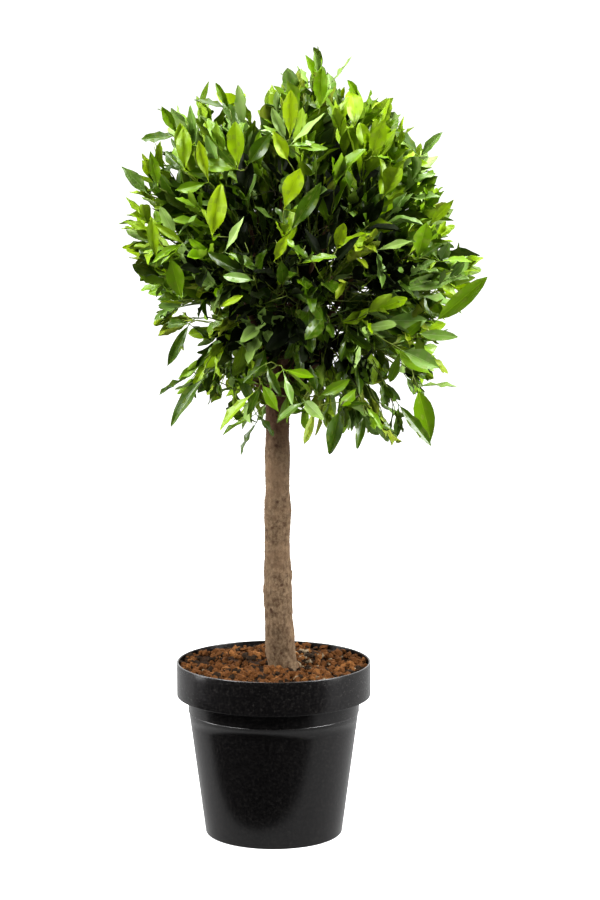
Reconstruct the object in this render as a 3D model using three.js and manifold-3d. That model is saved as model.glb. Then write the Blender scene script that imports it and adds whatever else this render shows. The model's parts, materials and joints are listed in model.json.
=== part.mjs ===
// A bay tree trained as a standard: one clear stem with a loosely clipped round head,
// standing in a round nursery pot.
// Millimetres, +Z up, +X to the right and +Y away from the front. The origin is the middle
// of the pot's flat underside. A direction is an azimuth from +X towards +Y and an elevation
// above level, in degrees.
import * as THREE from "three";
import { mergeVertices } from "three/addons/utils/BufferGeometryUtils.js";
import Module from "manifold-3d";

const wasm = await Module();
wasm.setup();

// ---- driving dimensions ----

// Clear space between pieces that touch.
const GAP = 0.3;

const POT = {
  height: 288,
  footRadius: 113.5, // underside
  footRound: 3, // rounding between the underside and the wall
  wallTaper: 0.13, // growth of the wall's radius for each millimetre of height
  wall: 3.2,
  floor: 3.5,
  collarBottom: 206, // the stacking collar, a little wider than the wall below it
  collarStep: 2,
  bandBottom: 232, // the upright band under the rim
  bandRadius: 160,
  bandRound: 1.6,
  lipRound: 1.2,
  segments: 44,
};
const DRAIN = { count: 8, radius: 6, circle: 84, sides: 8 };

const SOIL = {
  level: 274, // where it meets the stem
  edgeDrop: 2, // how much lower it lies at the pot's wall
  lumps: 2.5, // height of its unevenness
  levelRadius: 50, // it is flat this far from the middle
  rings: 5,
};

const STEM = {
  top: 1064, // where its leader ends, inside the top mass
  steps: 26,
  sides: 14,
  flare: { rise: 2.5, fade: 12, lobes: 5, lobeDepth: 0.09 }, // root flare at the soil
};
// [height above the pot's underside, radius, sideways lean] along the stem and its leader
const STEM_SHAPE = [
  [274, 22.8, 17.5],
  [298, 23.6, 12.6],
  [323, 24.2, 9.8],
  [389, 23.8, 7],
  [473, 21.4, 6.6],
  [540, 21.5, 7.3],
  [607, 20.2, 6.2],
  [689, 19.8, 6],
  [745, 17.5, 7],
  [810, 14, 9],
  [900, 9.5, 13],
  [1000, 6.5, 15],
  [1064, 3.8, 16],
];

// The head: a lumpy ball round its own middle, open inside where the boughs part.
const HEAD = {
  middle: new THREE.Vector3(38, 0, 955),
  reach: 292, // to the tips of its outer leaves
  underside: 650, // the height of its lowest leaves
  detail: 7, // fineness of the faceted ball
  split: 0.8, // clear space between neighbouring masses
  furrow: 0.12, // how deep the surface dips between masses, as a share of its reach
  furrowWidth: 0.1,
  ripple: 0.022, // small unevenness, as a share of its reach
};
// Where the ball stands out or draws in: direction, rise in millimetres, sharpness
const SWELLS = [
  { azimuth: 0, elevation: 82, rise: 46, sharpness: 34 },
  { azimuth: 0, elevation: 62, rise: 12, sharpness: 16 },
  { azimuth: 180, elevation: 44, rise: 34, sharpness: 14 },
  { azimuth: 180, elevation: 12, rise: 8, sharpness: 24 },
  { azimuth: -4, elevation: -50, rise: 92, sharpness: 16 },
  { azimuth: 0, elevation: 22, rise: -32, sharpness: 14 },
  { azimuth: -4, elevation: -27, rise: -36, sharpness: 32 },
  { azimuth: -4, elevation: -5, rise: 27, sharpness: 40 },
  { azimuth: 180, elevation: -18, rise: -44, sharpness: 12 },
  { azimuth: 186, elevation: -52, rise: 34, sharpness: 24 },
  { azimuth: -98, elevation: -54, rise: -50, sharpness: 14 },
  { azimuth: -60, elevation: 18, rise: 16, sharpness: 16 },
  { azimuth: 110, elevation: -8, rise: 20, sharpness: 14 },
  { azimuth: 62, elevation: 46, rise: 14, sharpness: 18 },
];

// The open heart of the head, round the stem: [height, radius]
const HEART_SHAPE = [
  [560, 66],
  [700, 72],
  [790, 84],
  [880, 104],
  [950, 98],
  [1000, 72],
  [1030, 36],
  [1040, 0],
];
const HEART_SEGMENTS = 16;
const HEART_LEAN = 14;

// Rings of masses, each on a bough of its own. Boughs leave the stem from `leaves` up to
// `leaves + stagger`, and enter their masses at the elevation `entry` from the head's middle.
// `bend` is how far out and how far up a bough's bend lies, as shares of its way.
const RINGS = [
  { name: "lower", count: 4, turn: -44, elevation: -40, entry: -60,
    leaves: 700, stagger: 34, radius: 8.8, bend: [0.42, 0.72] },
  { name: "middle", count: 5, turn: 14, elevation: 3, entry: -14,
    leaves: 752, stagger: 46, radius: 8, bend: [0.62, 0.46] },
  { name: "upper", count: 4, turn: 40, elevation: 45, entry: 34,
    leaves: 822, stagger: 60, radius: 6.2, bend: [0.62, 0.42] },
];
const BOUGH = {
  tipRadius: 3.6,
  seat: 24, // how far a bough runs on inside its mass
  steps: 5,
  sides: 7,
};

// ---- helpers ----

const radians = THREE.MathUtils.degToRad;

function direction(azimuth, elevation) {
  const level = Math.cos(radians(elevation));
  return new THREE.Vector3(
    level * Math.cos(radians(azimuth)),
    level * Math.sin(radians(azimuth)),
    Math.sin(radians(elevation)),
  );
}

// Reads a table of rows sorted by their first column, in smooth steps: the given column at x.
function readTable(table, x, column) {
  const last = table.length - 1;
  if (x <= table[0][0]) return table[0][column];
  if (x >= table[last][0]) return table[last][column];
  const i = table.findIndex((row) => row[0] > x) - 1;
  const t = (x - table[i][0]) / (table[i + 1][0] - table[i][0]);
  return THREE.MathUtils.lerp(table[i][column], table[i + 1][column], t * t * (3 - 2 * t));
}

// A gentle, repeatable unevenness between about -1 and 1.
function unevenness(x, y, z) {
  return (
    (Math.sin(1.7 * x + 2.3 * y + 0.4) +
      Math.sin(2.9 * y - 1.9 * z + 1.3) +
      Math.sin(3.1 * z + 1.1 * x + 2.2)) /
    3
  );
}

// A three.js geometry as a solid for joining and cutting.
function toSolid(geometry) {
  const bare = geometry.index ? geometry.toNonIndexed() : geometry.clone();
  bare.deleteAttribute("normal");
  bare.deleteAttribute("uv");
  const merged = mergeVertices(bare, 1e-3);
  return new wasm.Manifold(
    new wasm.Mesh({
      numProp: 3,
      vertProperties: merged.attributes.position.array,
      triVerts: new Uint32Array(merged.index.array),
    }),
  );
}

function toGeometry(solid) {
  const mesh = solid.getMesh();
  const geometry = new THREE.BufferGeometry();
  geometry.setAttribute("position", new THREE.BufferAttribute(mesh.vertProperties, 3));
  geometry.setIndex(new THREE.BufferAttribute(mesh.triVerts, 1));
  geometry.computeVertexNormals();
  return geometry;
}

// A profile of [radius, height] points turned round the Z axis.
function turned(profile, segments) {
  const points = profile.map(([radius, height]) => new THREE.Vector2(radius, height));
  return new THREE.LatheGeometry(points, segments).rotateX(Math.PI / 2);
}

// A quarter-round corner as profile points, from one angle to another about its middle.
function corner(radius, height, round, from, to) {
  const points = [];
  for (let i = 0; i <= 2; i += 1) {
    const angle = radians(THREE.MathUtils.lerp(from, to, i / 2));
    points.push([radius + round * Math.cos(angle), height + round * Math.sin(angle)]);
  }
  return points;
}

// A closed tube through rings of points, each ring listed anticlockwise seen from its far end.
function skin(rings) {
  const sides = rings[0].length;
  const first = rings[0].reduce((sum, p) => sum.add(p), new THREE.Vector3());
  const last = rings.at(-1).reduce((sum, p) => sum.add(p), new THREE.Vector3());
  const points = [...rings.flat(), first.divideScalar(sides), last.divideScalar(sides)];
  const [startPoint, endPoint] = [points.length - 2, points.length - 1];
  const faces = [];
  const top = (rings.length - 1) * sides;
  for (let side = 0; side < sides; side += 1) {
    const next = (side + 1) % sides;
    for (let row = 0; row < top; row += sides) {
      faces.push(row + side, row + next, row + sides + next);
      faces.push(row + side, row + sides + next, row + sides + side);
    }
    faces.push(startPoint, next, side);
    faces.push(endPoint, top + side, top + next);
  }
  return new THREE.BufferGeometry().setFromPoints(points).setIndex(faces);
}

function named(name, solid, material) {
  const mesh = new THREE.Mesh(toGeometry(solid), material);
  mesh.name = name;
  return mesh;
}

// ---- materials ----

const blackPlastic = new THREE.MeshStandardMaterial({ color: 0x1b1b1c, roughness: 0.42 });
const barkCompost = new THREE.MeshStandardMaterial({ color: 0x7a4a28, roughness: 0.95 });
const greyBrownBark = new THREE.MeshStandardMaterial({ color: 0x7d6a57, roughness: 0.85 });
const redBrownBark = new THREE.MeshStandardMaterial({ color: 0x5a3a26, roughness: 0.8 });
const bayLeaves = new THREE.MeshStandardMaterial({ color: 0x4f7a12, roughness: 0.45 });

// ---- pot and soil ----

const wallRadius = (height) => POT.footRadius + POT.wallTaper * height;

// The inside of the pot, from the middle of its floor to the lip, drawn in by `clearance`.
function potInside(clearance) {
  const ledge = POT.bandBottom + POT.wall;
  const inner = (height) => wallRadius(height) - POT.wall - clearance;
  return [
    [0, POT.floor + clearance],
    [inner(POT.floor), POT.floor + clearance],
    [inner(POT.collarBottom), POT.collarBottom],
    [inner(ledge), ledge + clearance],
    [POT.bandRadius - POT.wall - clearance, ledge + clearance],
  ];
}

function potOutside() {
  const collarRadius = wallRadius(POT.collarBottom) + POT.collarStep;
  const { height, footRadius, footRound, bandRadius, bandRound, lipRound } = POT;
  return [
    [0, 0],
    ...corner(footRadius - footRound, footRound, footRound, -90, 0),
    [wallRadius(POT.collarBottom), POT.collarBottom],
    [collarRadius, POT.collarBottom + POT.collarStep / 2],
    [collarRadius + POT.collarStep / 2, POT.bandBottom],
    ...corner(bandRadius - bandRound, POT.bandBottom + bandRound, bandRound, -90, 0),
    ...corner(bandRadius - lipRound, height - lipRound, lipRound, 0, 90),
    ...corner(bandRadius - POT.wall + lipRound, height - lipRound, lipRound, 90, 180),
  ];
}

function makePot() {
  let pot = toSolid(turned([...potOutside(), ...potInside(0).reverse()], POT.segments));
  for (let i = 0; i < DRAIN.count; i += 1) {
    const place = direction((360 * (i + 0.5)) / DRAIN.count, 0).multiplyScalar(DRAIN.circle);
    const hole = new THREE.CylinderGeometry(DRAIN.radius, DRAIN.radius, 4 * POT.floor, DRAIN.sides);
    hole.rotateX(Math.PI / 2).translate(place.x, place.y, 0);
    pot = pot.subtract(toSolid(hole));
  }
  return pot;
}

function makeSoil() {
  const inside = potInside(GAP);
  const edgeRadius = inside.at(-1)[0];
  const edgeHeight = SOIL.level - SOIL.edgeDrop;
  const top = [];
  for (let i = 0; i <= SOIL.rings; i += 1) {
    const t = i / SOIL.rings;
    const radius = THREE.MathUtils.lerp(edgeRadius, SOIL.levelRadius, t);
    top.push([radius, THREE.MathUtils.lerp(edgeHeight, SOIL.level, Math.min(1, 2 * t))]);
  }
  const soil = turned([...inside, ...top, [0, SOIL.level]], POT.segments);
  const places = soil.attributes.position;
  for (let i = 0; i < places.count; i += 1) {
    const [x, y, z] = [places.getX(i), places.getY(i), places.getZ(i)];
    const out = Math.hypot(x, y) - SOIL.levelRadius;
    if (z < edgeHeight - 1 || out < 1) continue;
    const share = Math.min(1, out / SOIL.levelRadius);
    places.setZ(i, z + SOIL.lumps * share * unevenness(x / 14, y / 14, (x - y) / 11));
  }
  return toSolid(soil);
}

// ---- stem and boughs ----

const stemLean = (height) => readTable(STEM_SHAPE, height, 2);
const stemRadius = (height) => readTable(STEM_SHAPE, height, 1);
const stemPoint = (height) => new THREE.Vector3(stemLean(height), 0, height);

// The stem from its flat cut on the soil to the tip of its leader, grown by `clearance`.
function makeStem(clearance) {
  const rings = [];
  const foot = SOIL.level + GAP - clearance;
  for (let step = 0; step <= STEM.steps; step += 1) {
    // Closer steps in the root flare.
    const t = (step / STEM.steps) ** 1.35;
    const height = THREE.MathUtils.lerp(foot, STEM.top + clearance, t);
    const above = Math.max(0, height - SOIL.level);
    const flare = Math.exp(-above / STEM.flare.fade);
    const ring = [];
    for (let side = 0; side < STEM.sides; side += 1) {
      const azimuth = (360 * side) / STEM.sides;
      const lobe = Math.cos(radians(STEM.flare.lobes * azimuth - 30));
      const radius =
        stemRadius(height) * (1 + 0.012 * unevenness(azimuth / 57, height / 45, 1)) +
        flare * STEM.flare.rise * (1 + STEM.flare.lobeDepth * 4 * lobe) +
        clearance;
      ring.push(direction(azimuth, 0).multiplyScalar(radius).add(stemPoint(height)));
    }
    rings.push(ring);
  }
  return toSolid(skin(rings));
}

// A tapering limb along a curve, grown by `clearance`.
function makeLimb(curve, startRadius, endRadius, clearance) {
  const frames = curve.computeFrenetFrames(BOUGH.steps, false);
  const rings = [];
  for (let step = 0; step <= BOUGH.steps; step += 1) {
    const t = step / BOUGH.steps;
    const middle = curve.getPointAt(t);
    const past = step === BOUGH.steps ? clearance : 0;
    middle.addScaledVector(frames.tangents[step], past);
    const radius = THREE.MathUtils.lerp(startRadius, endRadius, Math.sqrt(t)) + clearance;
    const ring = [];
    for (let side = 0; side < BOUGH.sides; side += 1) {
      const angle = (2 * Math.PI * side) / BOUGH.sides;
      ring.push(
        middle
          .clone()
          .addScaledVector(frames.normals[step], radius * Math.cos(angle))
          .addScaledVector(frames.binormals[step], radius * Math.sin(angle)),
      );
    }
    rings.push(ring);
  }
  return toSolid(skin(rings));
}

// ---- the head ----

const heartRadius = (height) => readTable(HEART_SHAPE, height, 1);

// Each mass's place: its name, the direction of its middle, and the bough that carries it.
function placeMasses() {
  const places = [{ name: "top", towards: direction(140, 88) }];
  for (const ring of RINGS) {
    for (let i = 0; i < ring.count; i += 1) {
      const azimuth = ring.turn + (360 * i) / ring.count;
      const elevation = ring.elevation + 5 * Math.sin(2.4 * i + ring.turn);
      places.push({
        name: `${ring.name}_${i + 1}`,
        towards: direction(azimuth, elevation),
        entry: direction(azimuth, ring.entry),
        leaves: ring.leaves + ring.stagger * ((i * 2) % ring.count) / ring.count,
        radius: ring.radius,
        bend: ring.bend,
      });
    }
  }
  return places;
}

// How far the head reaches from its middle in a direction, with a furrow between masses.
function headReach(towards, places) {
  let reach = HEAD.reach;
  for (const swell of SWELLS) {
    const closeness = towards.dot(direction(swell.azimuth, swell.elevation));
    reach += swell.rise * Math.exp(swell.sharpness * (closeness - 1));
  }
  const near = places.map((place) => place.towards.dot(towards)).sort((a, b) => b - a);
  const furrow = HEAD.furrow * Math.exp(-(near[0] - near[1]) / HEAD.furrowWidth);
  const { x, y, z } = towards.clone().multiplyScalar(6);
  reach *= 1 - furrow + HEAD.ripple * unevenness(x, y, z);
  const drop = Math.max(0.01, -towards.z);
  return Math.min(reach, (HEAD.middle.z - HEAD.underside) / drop);
}

function makeHeadBall(places) {
  const ball = mergeVertices(
    new THREE.IcosahedronGeometry(1, HEAD.detail).deleteAttribute("normal").deleteAttribute("uv"),
    1e-4,
  );
  const points = ball.attributes.position;
  const point = new THREE.Vector3();
  for (let i = 0; i < points.count; i += 1) {
    point.fromBufferAttribute(points, i).normalize();
    point.multiplyScalar(headReach(point, places)).add(HEAD.middle);
    points.setXYZ(i, point.x, point.y, point.z);
  }
  return toSolid(ball);
}

function makeHeart() {
  const profile = [[0, HEART_SHAPE[0][0]], ...HEART_SHAPE.map(([height, radius]) => [radius, height])];
  return toSolid(turned(profile, HEART_SEGMENTS).translate(HEART_LEAN, 0, 0));
}

// Where a line from the head's middle leaves the open heart.
function heartWall(towards) {
  const point = HEAD.middle.clone();
  const fromStem = () => Math.hypot(point.x - HEART_LEAN, point.y);
  while (fromStem() < heartRadius(point.z)) point.add(towards);
  return point;
}

function makeBough(place, clearance) {
  const start = stemPoint(place.leaves);
  const end = heartWall(place.entry).addScaledVector(place.entry, BOUGH.seat);
  const way = end.clone().sub(start);
  const [out, up] = place.bend;
  const bend = start.clone().add(way.multiply(new THREE.Vector3(out, out, up)));
  const curve = new THREE.QuadraticBezierCurve3(start, bend, end);
  return makeLimb(curve, place.radius, BOUGH.tipRadius, clearance);
}

// The part of the head nearer to one place's direction than to any other's.
function makeMass(place, places, foliage) {
  let mass = foliage;
  for (const other of places) {
    if (other === place) continue;
    const normal = place.towards.clone().sub(other.towards).normalize();
    const offset = normal.dot(HEAD.middle) + HEAD.split / 2;
    mass = mass.trimByPlane(normal.toArray(), offset);
  }
  const bodies = mass.decompose().sort((a, b) => b.volume() - a.volume());
  return bodies[0];
}

// ---- assembly ----

const tree = new THREE.Group();
tree.add(named("pot", makePot(), blackPlastic));
tree.add(named("soil", makeSoil(), barkCompost));
tree.add(named("stem", makeStem(0), greyBrownBark));

const places = placeMasses();
const stemRoom = makeStem(GAP);
let foliage = makeHeadBall(places).subtract(makeHeart()).subtract(stemRoom);
for (const place of places.filter(({ bend }) => bend)) {
  const bough = makeBough(place, 0).subtract(stemRoom);
  tree.add(named(`bough_${place.name}`, bough, redBrownBark));
  foliage = foliage.subtract(makeBough(place, GAP));
}
for (const place of places) {
  tree.add(named(`leaves_${place.name}`, makeMass(place, places, foliage), bayLeaves));
}

export default tree;
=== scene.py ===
# %% [markdown]
# # A bay tree trained as a standard, in its nursery pot
#
# A standard is a small tree made by a gardener: one clear stem, with everything below the
# head rubbed off, and a round head clipped loosely once or twice a year. Here the solid
# model gives the sizes, and this lesson grows the leafy head, the bark, the compost and
# the finish of the pot round it. Everything is in metres, with +Z up and +Y away from the
# front.

# %% Load the frame
import itertools
import json
import math

import bpy
import numpy as np
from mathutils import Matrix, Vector

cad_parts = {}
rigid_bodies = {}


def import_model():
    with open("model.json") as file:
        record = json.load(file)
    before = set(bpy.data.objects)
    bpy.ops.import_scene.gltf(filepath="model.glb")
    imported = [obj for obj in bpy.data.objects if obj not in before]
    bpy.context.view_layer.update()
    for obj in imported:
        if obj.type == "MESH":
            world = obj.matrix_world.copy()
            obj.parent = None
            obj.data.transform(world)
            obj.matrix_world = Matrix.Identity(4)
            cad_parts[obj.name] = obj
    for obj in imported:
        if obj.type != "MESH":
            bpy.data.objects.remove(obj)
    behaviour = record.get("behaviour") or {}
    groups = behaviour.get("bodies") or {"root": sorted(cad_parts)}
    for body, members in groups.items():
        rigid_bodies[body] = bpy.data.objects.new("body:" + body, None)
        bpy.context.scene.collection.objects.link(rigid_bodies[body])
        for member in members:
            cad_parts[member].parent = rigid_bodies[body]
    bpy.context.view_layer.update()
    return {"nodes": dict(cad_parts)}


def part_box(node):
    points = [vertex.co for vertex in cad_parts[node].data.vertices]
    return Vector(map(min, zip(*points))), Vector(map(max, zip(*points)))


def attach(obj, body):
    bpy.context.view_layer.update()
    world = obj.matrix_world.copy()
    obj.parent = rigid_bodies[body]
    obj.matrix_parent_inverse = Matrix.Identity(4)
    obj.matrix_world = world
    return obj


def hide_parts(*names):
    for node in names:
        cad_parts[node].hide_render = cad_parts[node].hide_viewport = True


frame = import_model()

# %% [markdown]
# ## The camera
#
# A long lens stands about four metres away and looks a little down, so that the pot's rim
# opens into an ellipse. A short lens closer by would swell the head against the pot.

# %% Camera
CAMERA = {"x": 0.0433, "distance": 4.1945, "height": 1.2279, "tilt": 0.1394, "lens": 103.8}

camera_data = bpy.data.cameras.new("camera")
camera_data.lens = CAMERA["lens"]
camera_data.sensor_width = 36
camera = bpy.data.objects.new("camera", camera_data)
camera.location = (CAMERA["x"], -CAMERA["distance"], CAMERA["height"])
camera.rotation_euler = (math.pi / 2 - CAMERA["tilt"], 0, 0)
bpy.context.scene.collection.objects.link(camera)
bpy.context.scene.camera = camera
print("camera looks down by", round(math.degrees(CAMERA["tilt"]), 1), "degrees")

# %% [markdown]
# ## The studio
#
# Plants are shown in a white room: a big soft light high on the left, a weaker one on the
# right, and a pale floor. The gloss on leaves and plastic is only as good as what they
# mirror, so the room is bright overhead and at its sides and dim behind the camera. The
# pale sheet under the pot is mirrored in its wall as two side bands, and ends a hand's
# width in front of it. The floor is paler to the camera than to the light that bounces
# from it, which keeps the undersides dark.

# %% World and floor
def linear(red, green, blue):
    """A colour given as 0-255 screen values, as the linear values that shaders take."""
    def one(value):
        value /= 255
        return value / 12.92 if value <= 0.04045 else ((value + 0.055) / 1.055) ** 2.4
    return (one(red), one(green), one(blue), 1.0)


def new_node(nodes, links, kind, inputs=(), **settings):
    """A shader node with its settings, and then its inputs as sockets or plain values."""
    node = nodes.new("ShaderNode" + kind)
    for label, setting in settings.items():
        setattr(node, label, setting)
    for label, given in dict(inputs).items():
        if isinstance(given, bpy.types.NodeSocket):
            links.new(given, node.inputs[label])
        else:
            node.inputs[label].default_value = given
    return node


def value_range(nodes, links, source, low, high, to_low, to_high):
    """A Map Range node from one range to another, clamped. Returns its result socket."""
    ranges = {"From Min": low, "From Max": high, "To Min": to_low, "To Max": to_high}
    return new_node(nodes, links, "MapRange", {"Value": source, **ranges}).outputs["Result"]


def by_ray(nodes, links, plain, mirrored, seen):
    """One shader for light that bounces, one for gloss to mirror and one for the camera."""
    path = new_node(nodes, links, "LightPath")
    shown = plain
    for ray, shader in (("Is Glossy Ray", mirrored), ("Is Camera Ray", seen)):
        inputs = {0: path.outputs[ray], 1: shown, 2: shader.outputs[0]}
        shown = new_node(nodes, links, "MixShader", inputs).outputs[0]
    return shown


# Strengths: the light it gives, what gloss mirrors at its sides and behind the camera,
# and what the camera sees. Gloss fades from one to the other between two directions.
ROOM = {
    "light": 0.185, "sides": 1.5, "behind_camera": 0.06, "seen": 1.0, "fade": (-0.8, -0.2)
}

scene = bpy.context.scene
scene.view_settings.view_transform = "Standard"
scene.view_settings.look = "Medium High Contrast"
world = bpy.data.worlds.new("studio")
scene.world = world
world.use_nodes = True
nodes, links = world.node_tree.nodes, world.node_tree.links
nodes.clear()
place = new_node(nodes, links, "TexCoord")
split = new_node(nodes, links, "SeparateXYZ", {0: place.outputs["Generated"]})
mirrored = value_range(
    nodes, links, split.outputs["Y"], *ROOM["fade"], ROOM["behind_camera"], ROOM["sides"]
)
light, gloss, seen = (
    new_node(nodes, links, "Background", {"Color": (1, 1, 1, 1), "Strength": strength})
    for strength in (ROOM["light"], mirrored, ROOM["seen"])
)
room = by_ray(nodes, links, light.outputs[0], gloss, seen)
new_node(nodes, links, "OutputWorld", {"Surface": room})

# Grey towards the light that bounces and towards the camera, to which it also glows
FLOOR = {"radius": 60.0, "segments": 96, "seen": 0.45, "glow": 0.92, "bounced": 0.32}
# The pale sheet as gloss mirrors it: its front edge faces this way, this far from the pot's
# middle, and its strength on the sheet and beyond it
SHEET = {"towards": (-0.35, -0.94), "edge": 0.165, "soft": 0.02, "on": 0.66, "beyond": 0.015}

angles = [2 * math.pi * i / FLOOR["segments"] for i in range(FLOOR["segments"])]
floor_mesh = bpy.data.meshes.new("floor")
floor_mesh.from_pydata(
    [(FLOOR["radius"] * math.cos(a), FLOOR["radius"] * math.sin(a), 0) for a in angles],
    [],
    [tuple(range(FLOOR["segments"]))],
)
floor = bpy.data.objects.new("floor", floor_mesh)
scene.collection.objects.link(floor)
floor_material = bpy.data.materials.new("pale_floor")
floor_material.use_nodes = True
nodes, links = floor_material.node_tree.nodes, floor_material.node_tree.links
nodes.clear()
bounced, seen = (
    new_node(nodes, links, "BsdfDiffuse", {"Color": (FLOOR[grey],) * 3 + (1,)})
    for grey in ("bounced", "seen")
)
glow = new_node(nodes, links, "Emission", {"Strength": FLOOR["glow"]})
added = new_node(nodes, links, "AddShader", {0: seen.outputs[0], 1: glow.outputs[0]})
place = new_node(nodes, links, "TexCoord")
inputs = {0: place.outputs["Object"], 1: SHEET["towards"] + (0,)}
ahead = new_node(nodes, links, "VectorMath", inputs, operation="DOT_PRODUCT")
mirrored = value_range(
    nodes, links, ahead.outputs["Value"],
    SHEET["edge"], SHEET["edge"] + SHEET["soft"], SHEET["on"], SHEET["beyond"],
)
sheet = new_node(nodes, links, "Emission", {"Strength": mirrored})
surface = by_ray(nodes, links, bounced.outputs[0], sheet, added)
new_node(nodes, links, "OutputMaterial", {"Surface": surface})
floor_mesh.materials.append(floor_material)
print("floor radius", FLOOR["radius"], "m")

# %% Lamps
# Each soft light is a panel: where it stands, what it looks at, its size and its power.
LIGHTS = {
    "left": {"at": (-2.3, -1.3, 2.5), "to": (0, 0, 0.9), "size": (1.4, 1.8), "watts": 176},
    "right": {"at": (2.4, -1.0, 2.1), "to": (0, 0, 0.9), "size": (1.4, 1.8), "watts": 182},
    "overhead": {"at": (0.1, 0.3, 3.4), "to": (0, 0, 0.6), "size": (2.4, 2.4), "watts": 150},
    "right_strip": {"at": (2.3, -0.7, 1.2), "to": (0, 0, 0.6), "size": (1.0, 2.2), "watts": 30},
    "left_strip": {"at": (-2.2, 0.1, 1.0), "to": (0, 0, 0.5), "size": (0.5, 2.0), "watts": 40},
}

for name, light in LIGHTS.items():
    lamp = bpy.data.lights.new(name, "AREA")
    lamp.shape = "RECTANGLE"
    lamp.size, lamp.size_y = light["size"]
    lamp.energy = light["watts"]
    lamp_object = bpy.data.objects.new(name, lamp)
    lamp_object.location = light["at"]
    aim = Vector(light["to"]) - Vector(light["at"])
    lamp_object.rotation_euler = aim.to_track_quat("-Z", "Y").to_euler()
    lamp_object.visible_camera = False
    scene.collection.objects.link(lamp_object)
print(len(LIGHTS), "soft lights")

# %% [markdown]
# ## Effects that several finishes share
#
# Real surfaces are never one colour: plastic has a fine grain, dust settles on what faces
# up, and what stands proud is rubbed or bleached. What lies deep is darkened as painted
# shade. Each effect is a node group with named inputs, built once and placed in every
# material that needs it. The groups give out only masks, colours and heights, and the
# shaders stay in the materials.

# %% Node groups
def new_group(name, inputs, outputs):
    """A shader node group with the given sockets, each as name: (kind, default)."""
    group = bpy.data.node_groups.new(name, "ShaderNodeTree")
    for direction, sockets in (("INPUT", inputs), ("OUTPUT", outputs)):
        for label, (kind, default) in sockets.items():
            made = group.interface.new_socket(
                label, in_out=direction, socket_type="NodeSocket" + kind
            )
            if default is not None and direction == "INPUT":
                made.default_value = default
    start = group.nodes.new("NodeGroupInput")
    end = group.nodes.new("NodeGroupOutput")
    return group, group.nodes, group.links, start.outputs, end.inputs


def mixed_colour(nodes, links, factor, first, second):
    """A colour Mix node. Each input is a socket or a plain value. Returns its colour."""
    inputs = {0: factor, 6: first, 7: second}
    return new_node(nodes, links, "Mix", inputs, data_type="RGBA").outputs[2]


def arithmetic(nodes, links, operation, first, second=0.0, clamp=False):
    """A Math node. Each input is a socket or a number. Returns its value."""
    node = new_node(
        nodes, links, "Math", {0: first, 1: second}, operation=operation, use_clamp=clamp
    )
    return node.outputs[0]


def make_grain_group():
    """Mottling at two sizes, which can be drawn out along Z as in bark."""
    group, nodes, links, given, result = new_group(
        "grain",
        {
            "Scale": ("Float", 100.0),
            "Drawn Out": ("Float", 1.0),
            "Roughness": ("Float", 0.6),
        },
        {"Coarse": ("Float", None), "Fine": ("Float", None)},
    )
    place = new_node(nodes, links, "TexCoord")
    less = arithmetic(nodes, links, "DIVIDE", 1.0, given["Drawn Out"])
    squeeze = new_node(nodes, links, "CombineXYZ", {"X": 1, "Y": 1, "Z": less})
    inputs = {0: place.outputs["Object"], 1: squeeze.outputs[0]}
    stretched = new_node(nodes, links, "VectorMath", inputs, operation="MULTIPLY")
    for label, factor, detail in (("Coarse", 1.0, 3.0), ("Fine", 6.0, 5.0)):
        inputs = {
            "Vector": stretched.outputs[0],
            "Scale": arithmetic(nodes, links, "MULTIPLY", given["Scale"], factor),
            "Detail": detail,
            "Roughness": given["Roughness"],
        }
        noise = new_node(nodes, links, "TexNoise", inputs)
        links.new(noise.outputs["Fac"], result[label])
    return group


def make_dust_group():
    """Pale dust in patches, thickest on what faces up."""
    group, nodes, links, given, result = new_group(
        "dust",
        {
            "Color": ("Color", (0.5, 0.5, 0.5, 1)),
            "Dust Color": ("Color", (0.4, 0.38, 0.35, 1)),
            "Amount": ("Float", 0.3),
            "Scale": ("Float", 60.0),
        },
        {"Color": ("Color", None), "Mask": ("Float", None)},
    )
    place = new_node(nodes, links, "TexCoord").outputs["Object"]
    inputs = {"Vector": place, "Scale": given["Scale"], "Detail": 8, "Roughness": 0.7}
    noise = new_node(nodes, links, "TexNoise", inputs)
    patches = value_range(nodes, links, noise.outputs["Fac"], 0.48, 0.72, 0.0, 1.0)
    geometry = new_node(nodes, links, "NewGeometry")
    split = new_node(nodes, links, "SeparateXYZ", {0: geometry.outputs["Normal"]})
    upward = value_range(nodes, links, split.outputs["Z"], -0.2, 0.9, 0.25, 1.0)
    mask = arithmetic(nodes, links, "MULTIPLY", patches, upward)
    mask = arithmetic(nodes, links, "MULTIPLY", mask, given["Amount"], clamp=True)
    colour = mixed_colour(nodes, links, mask, given["Color"], given["Dust Color"])
    links.new(colour, result["Color"])
    links.new(mask, result["Mask"])
    return group


def make_rub_and_painted_shade_group():
    """Lightens what stands proud, as wear, and darkens what lies deep with painted shade."""
    group, nodes, links, given, result = new_group(
        "rubbed_edges_and_painted_hollow_shade",
        {
            "Color": ("Color", (0.5, 0.5, 0.5, 1)),
            "Worn Color": ("Color", (0.7, 0.7, 0.7, 1)),
            # The colour and strength of the painted shade in the hollows
            "Deep Color": ("Color", (0.1, 0.1, 0.1, 1)),
            "Worn": ("Float", 0.5),
            "Deep": ("Float", 0.5),
        },
        {"Color": ("Color", None)},
    )
    pointed = new_node(nodes, links, "NewGeometry").outputs["Pointiness"]
    proud = value_range(nodes, links, pointed, 0.51, 0.6, 0.0, 1.0)
    # Painted shade: hollows, where the pointiness is low, are darkened
    hollow = value_range(nodes, links, pointed, 0.49, 0.4, 0.0, 1.0)
    pointiness_tone = arithmetic(nodes, links, "MULTIPLY", proud, given["Worn"], clamp=True)
    deep = arithmetic(nodes, links, "MULTIPLY", hollow, given["Deep"], clamp=True)
    colour = mixed_colour(nodes, links, pointiness_tone, given["Color"], given["Worn Color"])
    colour = mixed_colour(nodes, links, deep, colour, given["Deep Color"])
    links.new(colour, result["Color"])
    return group


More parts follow.
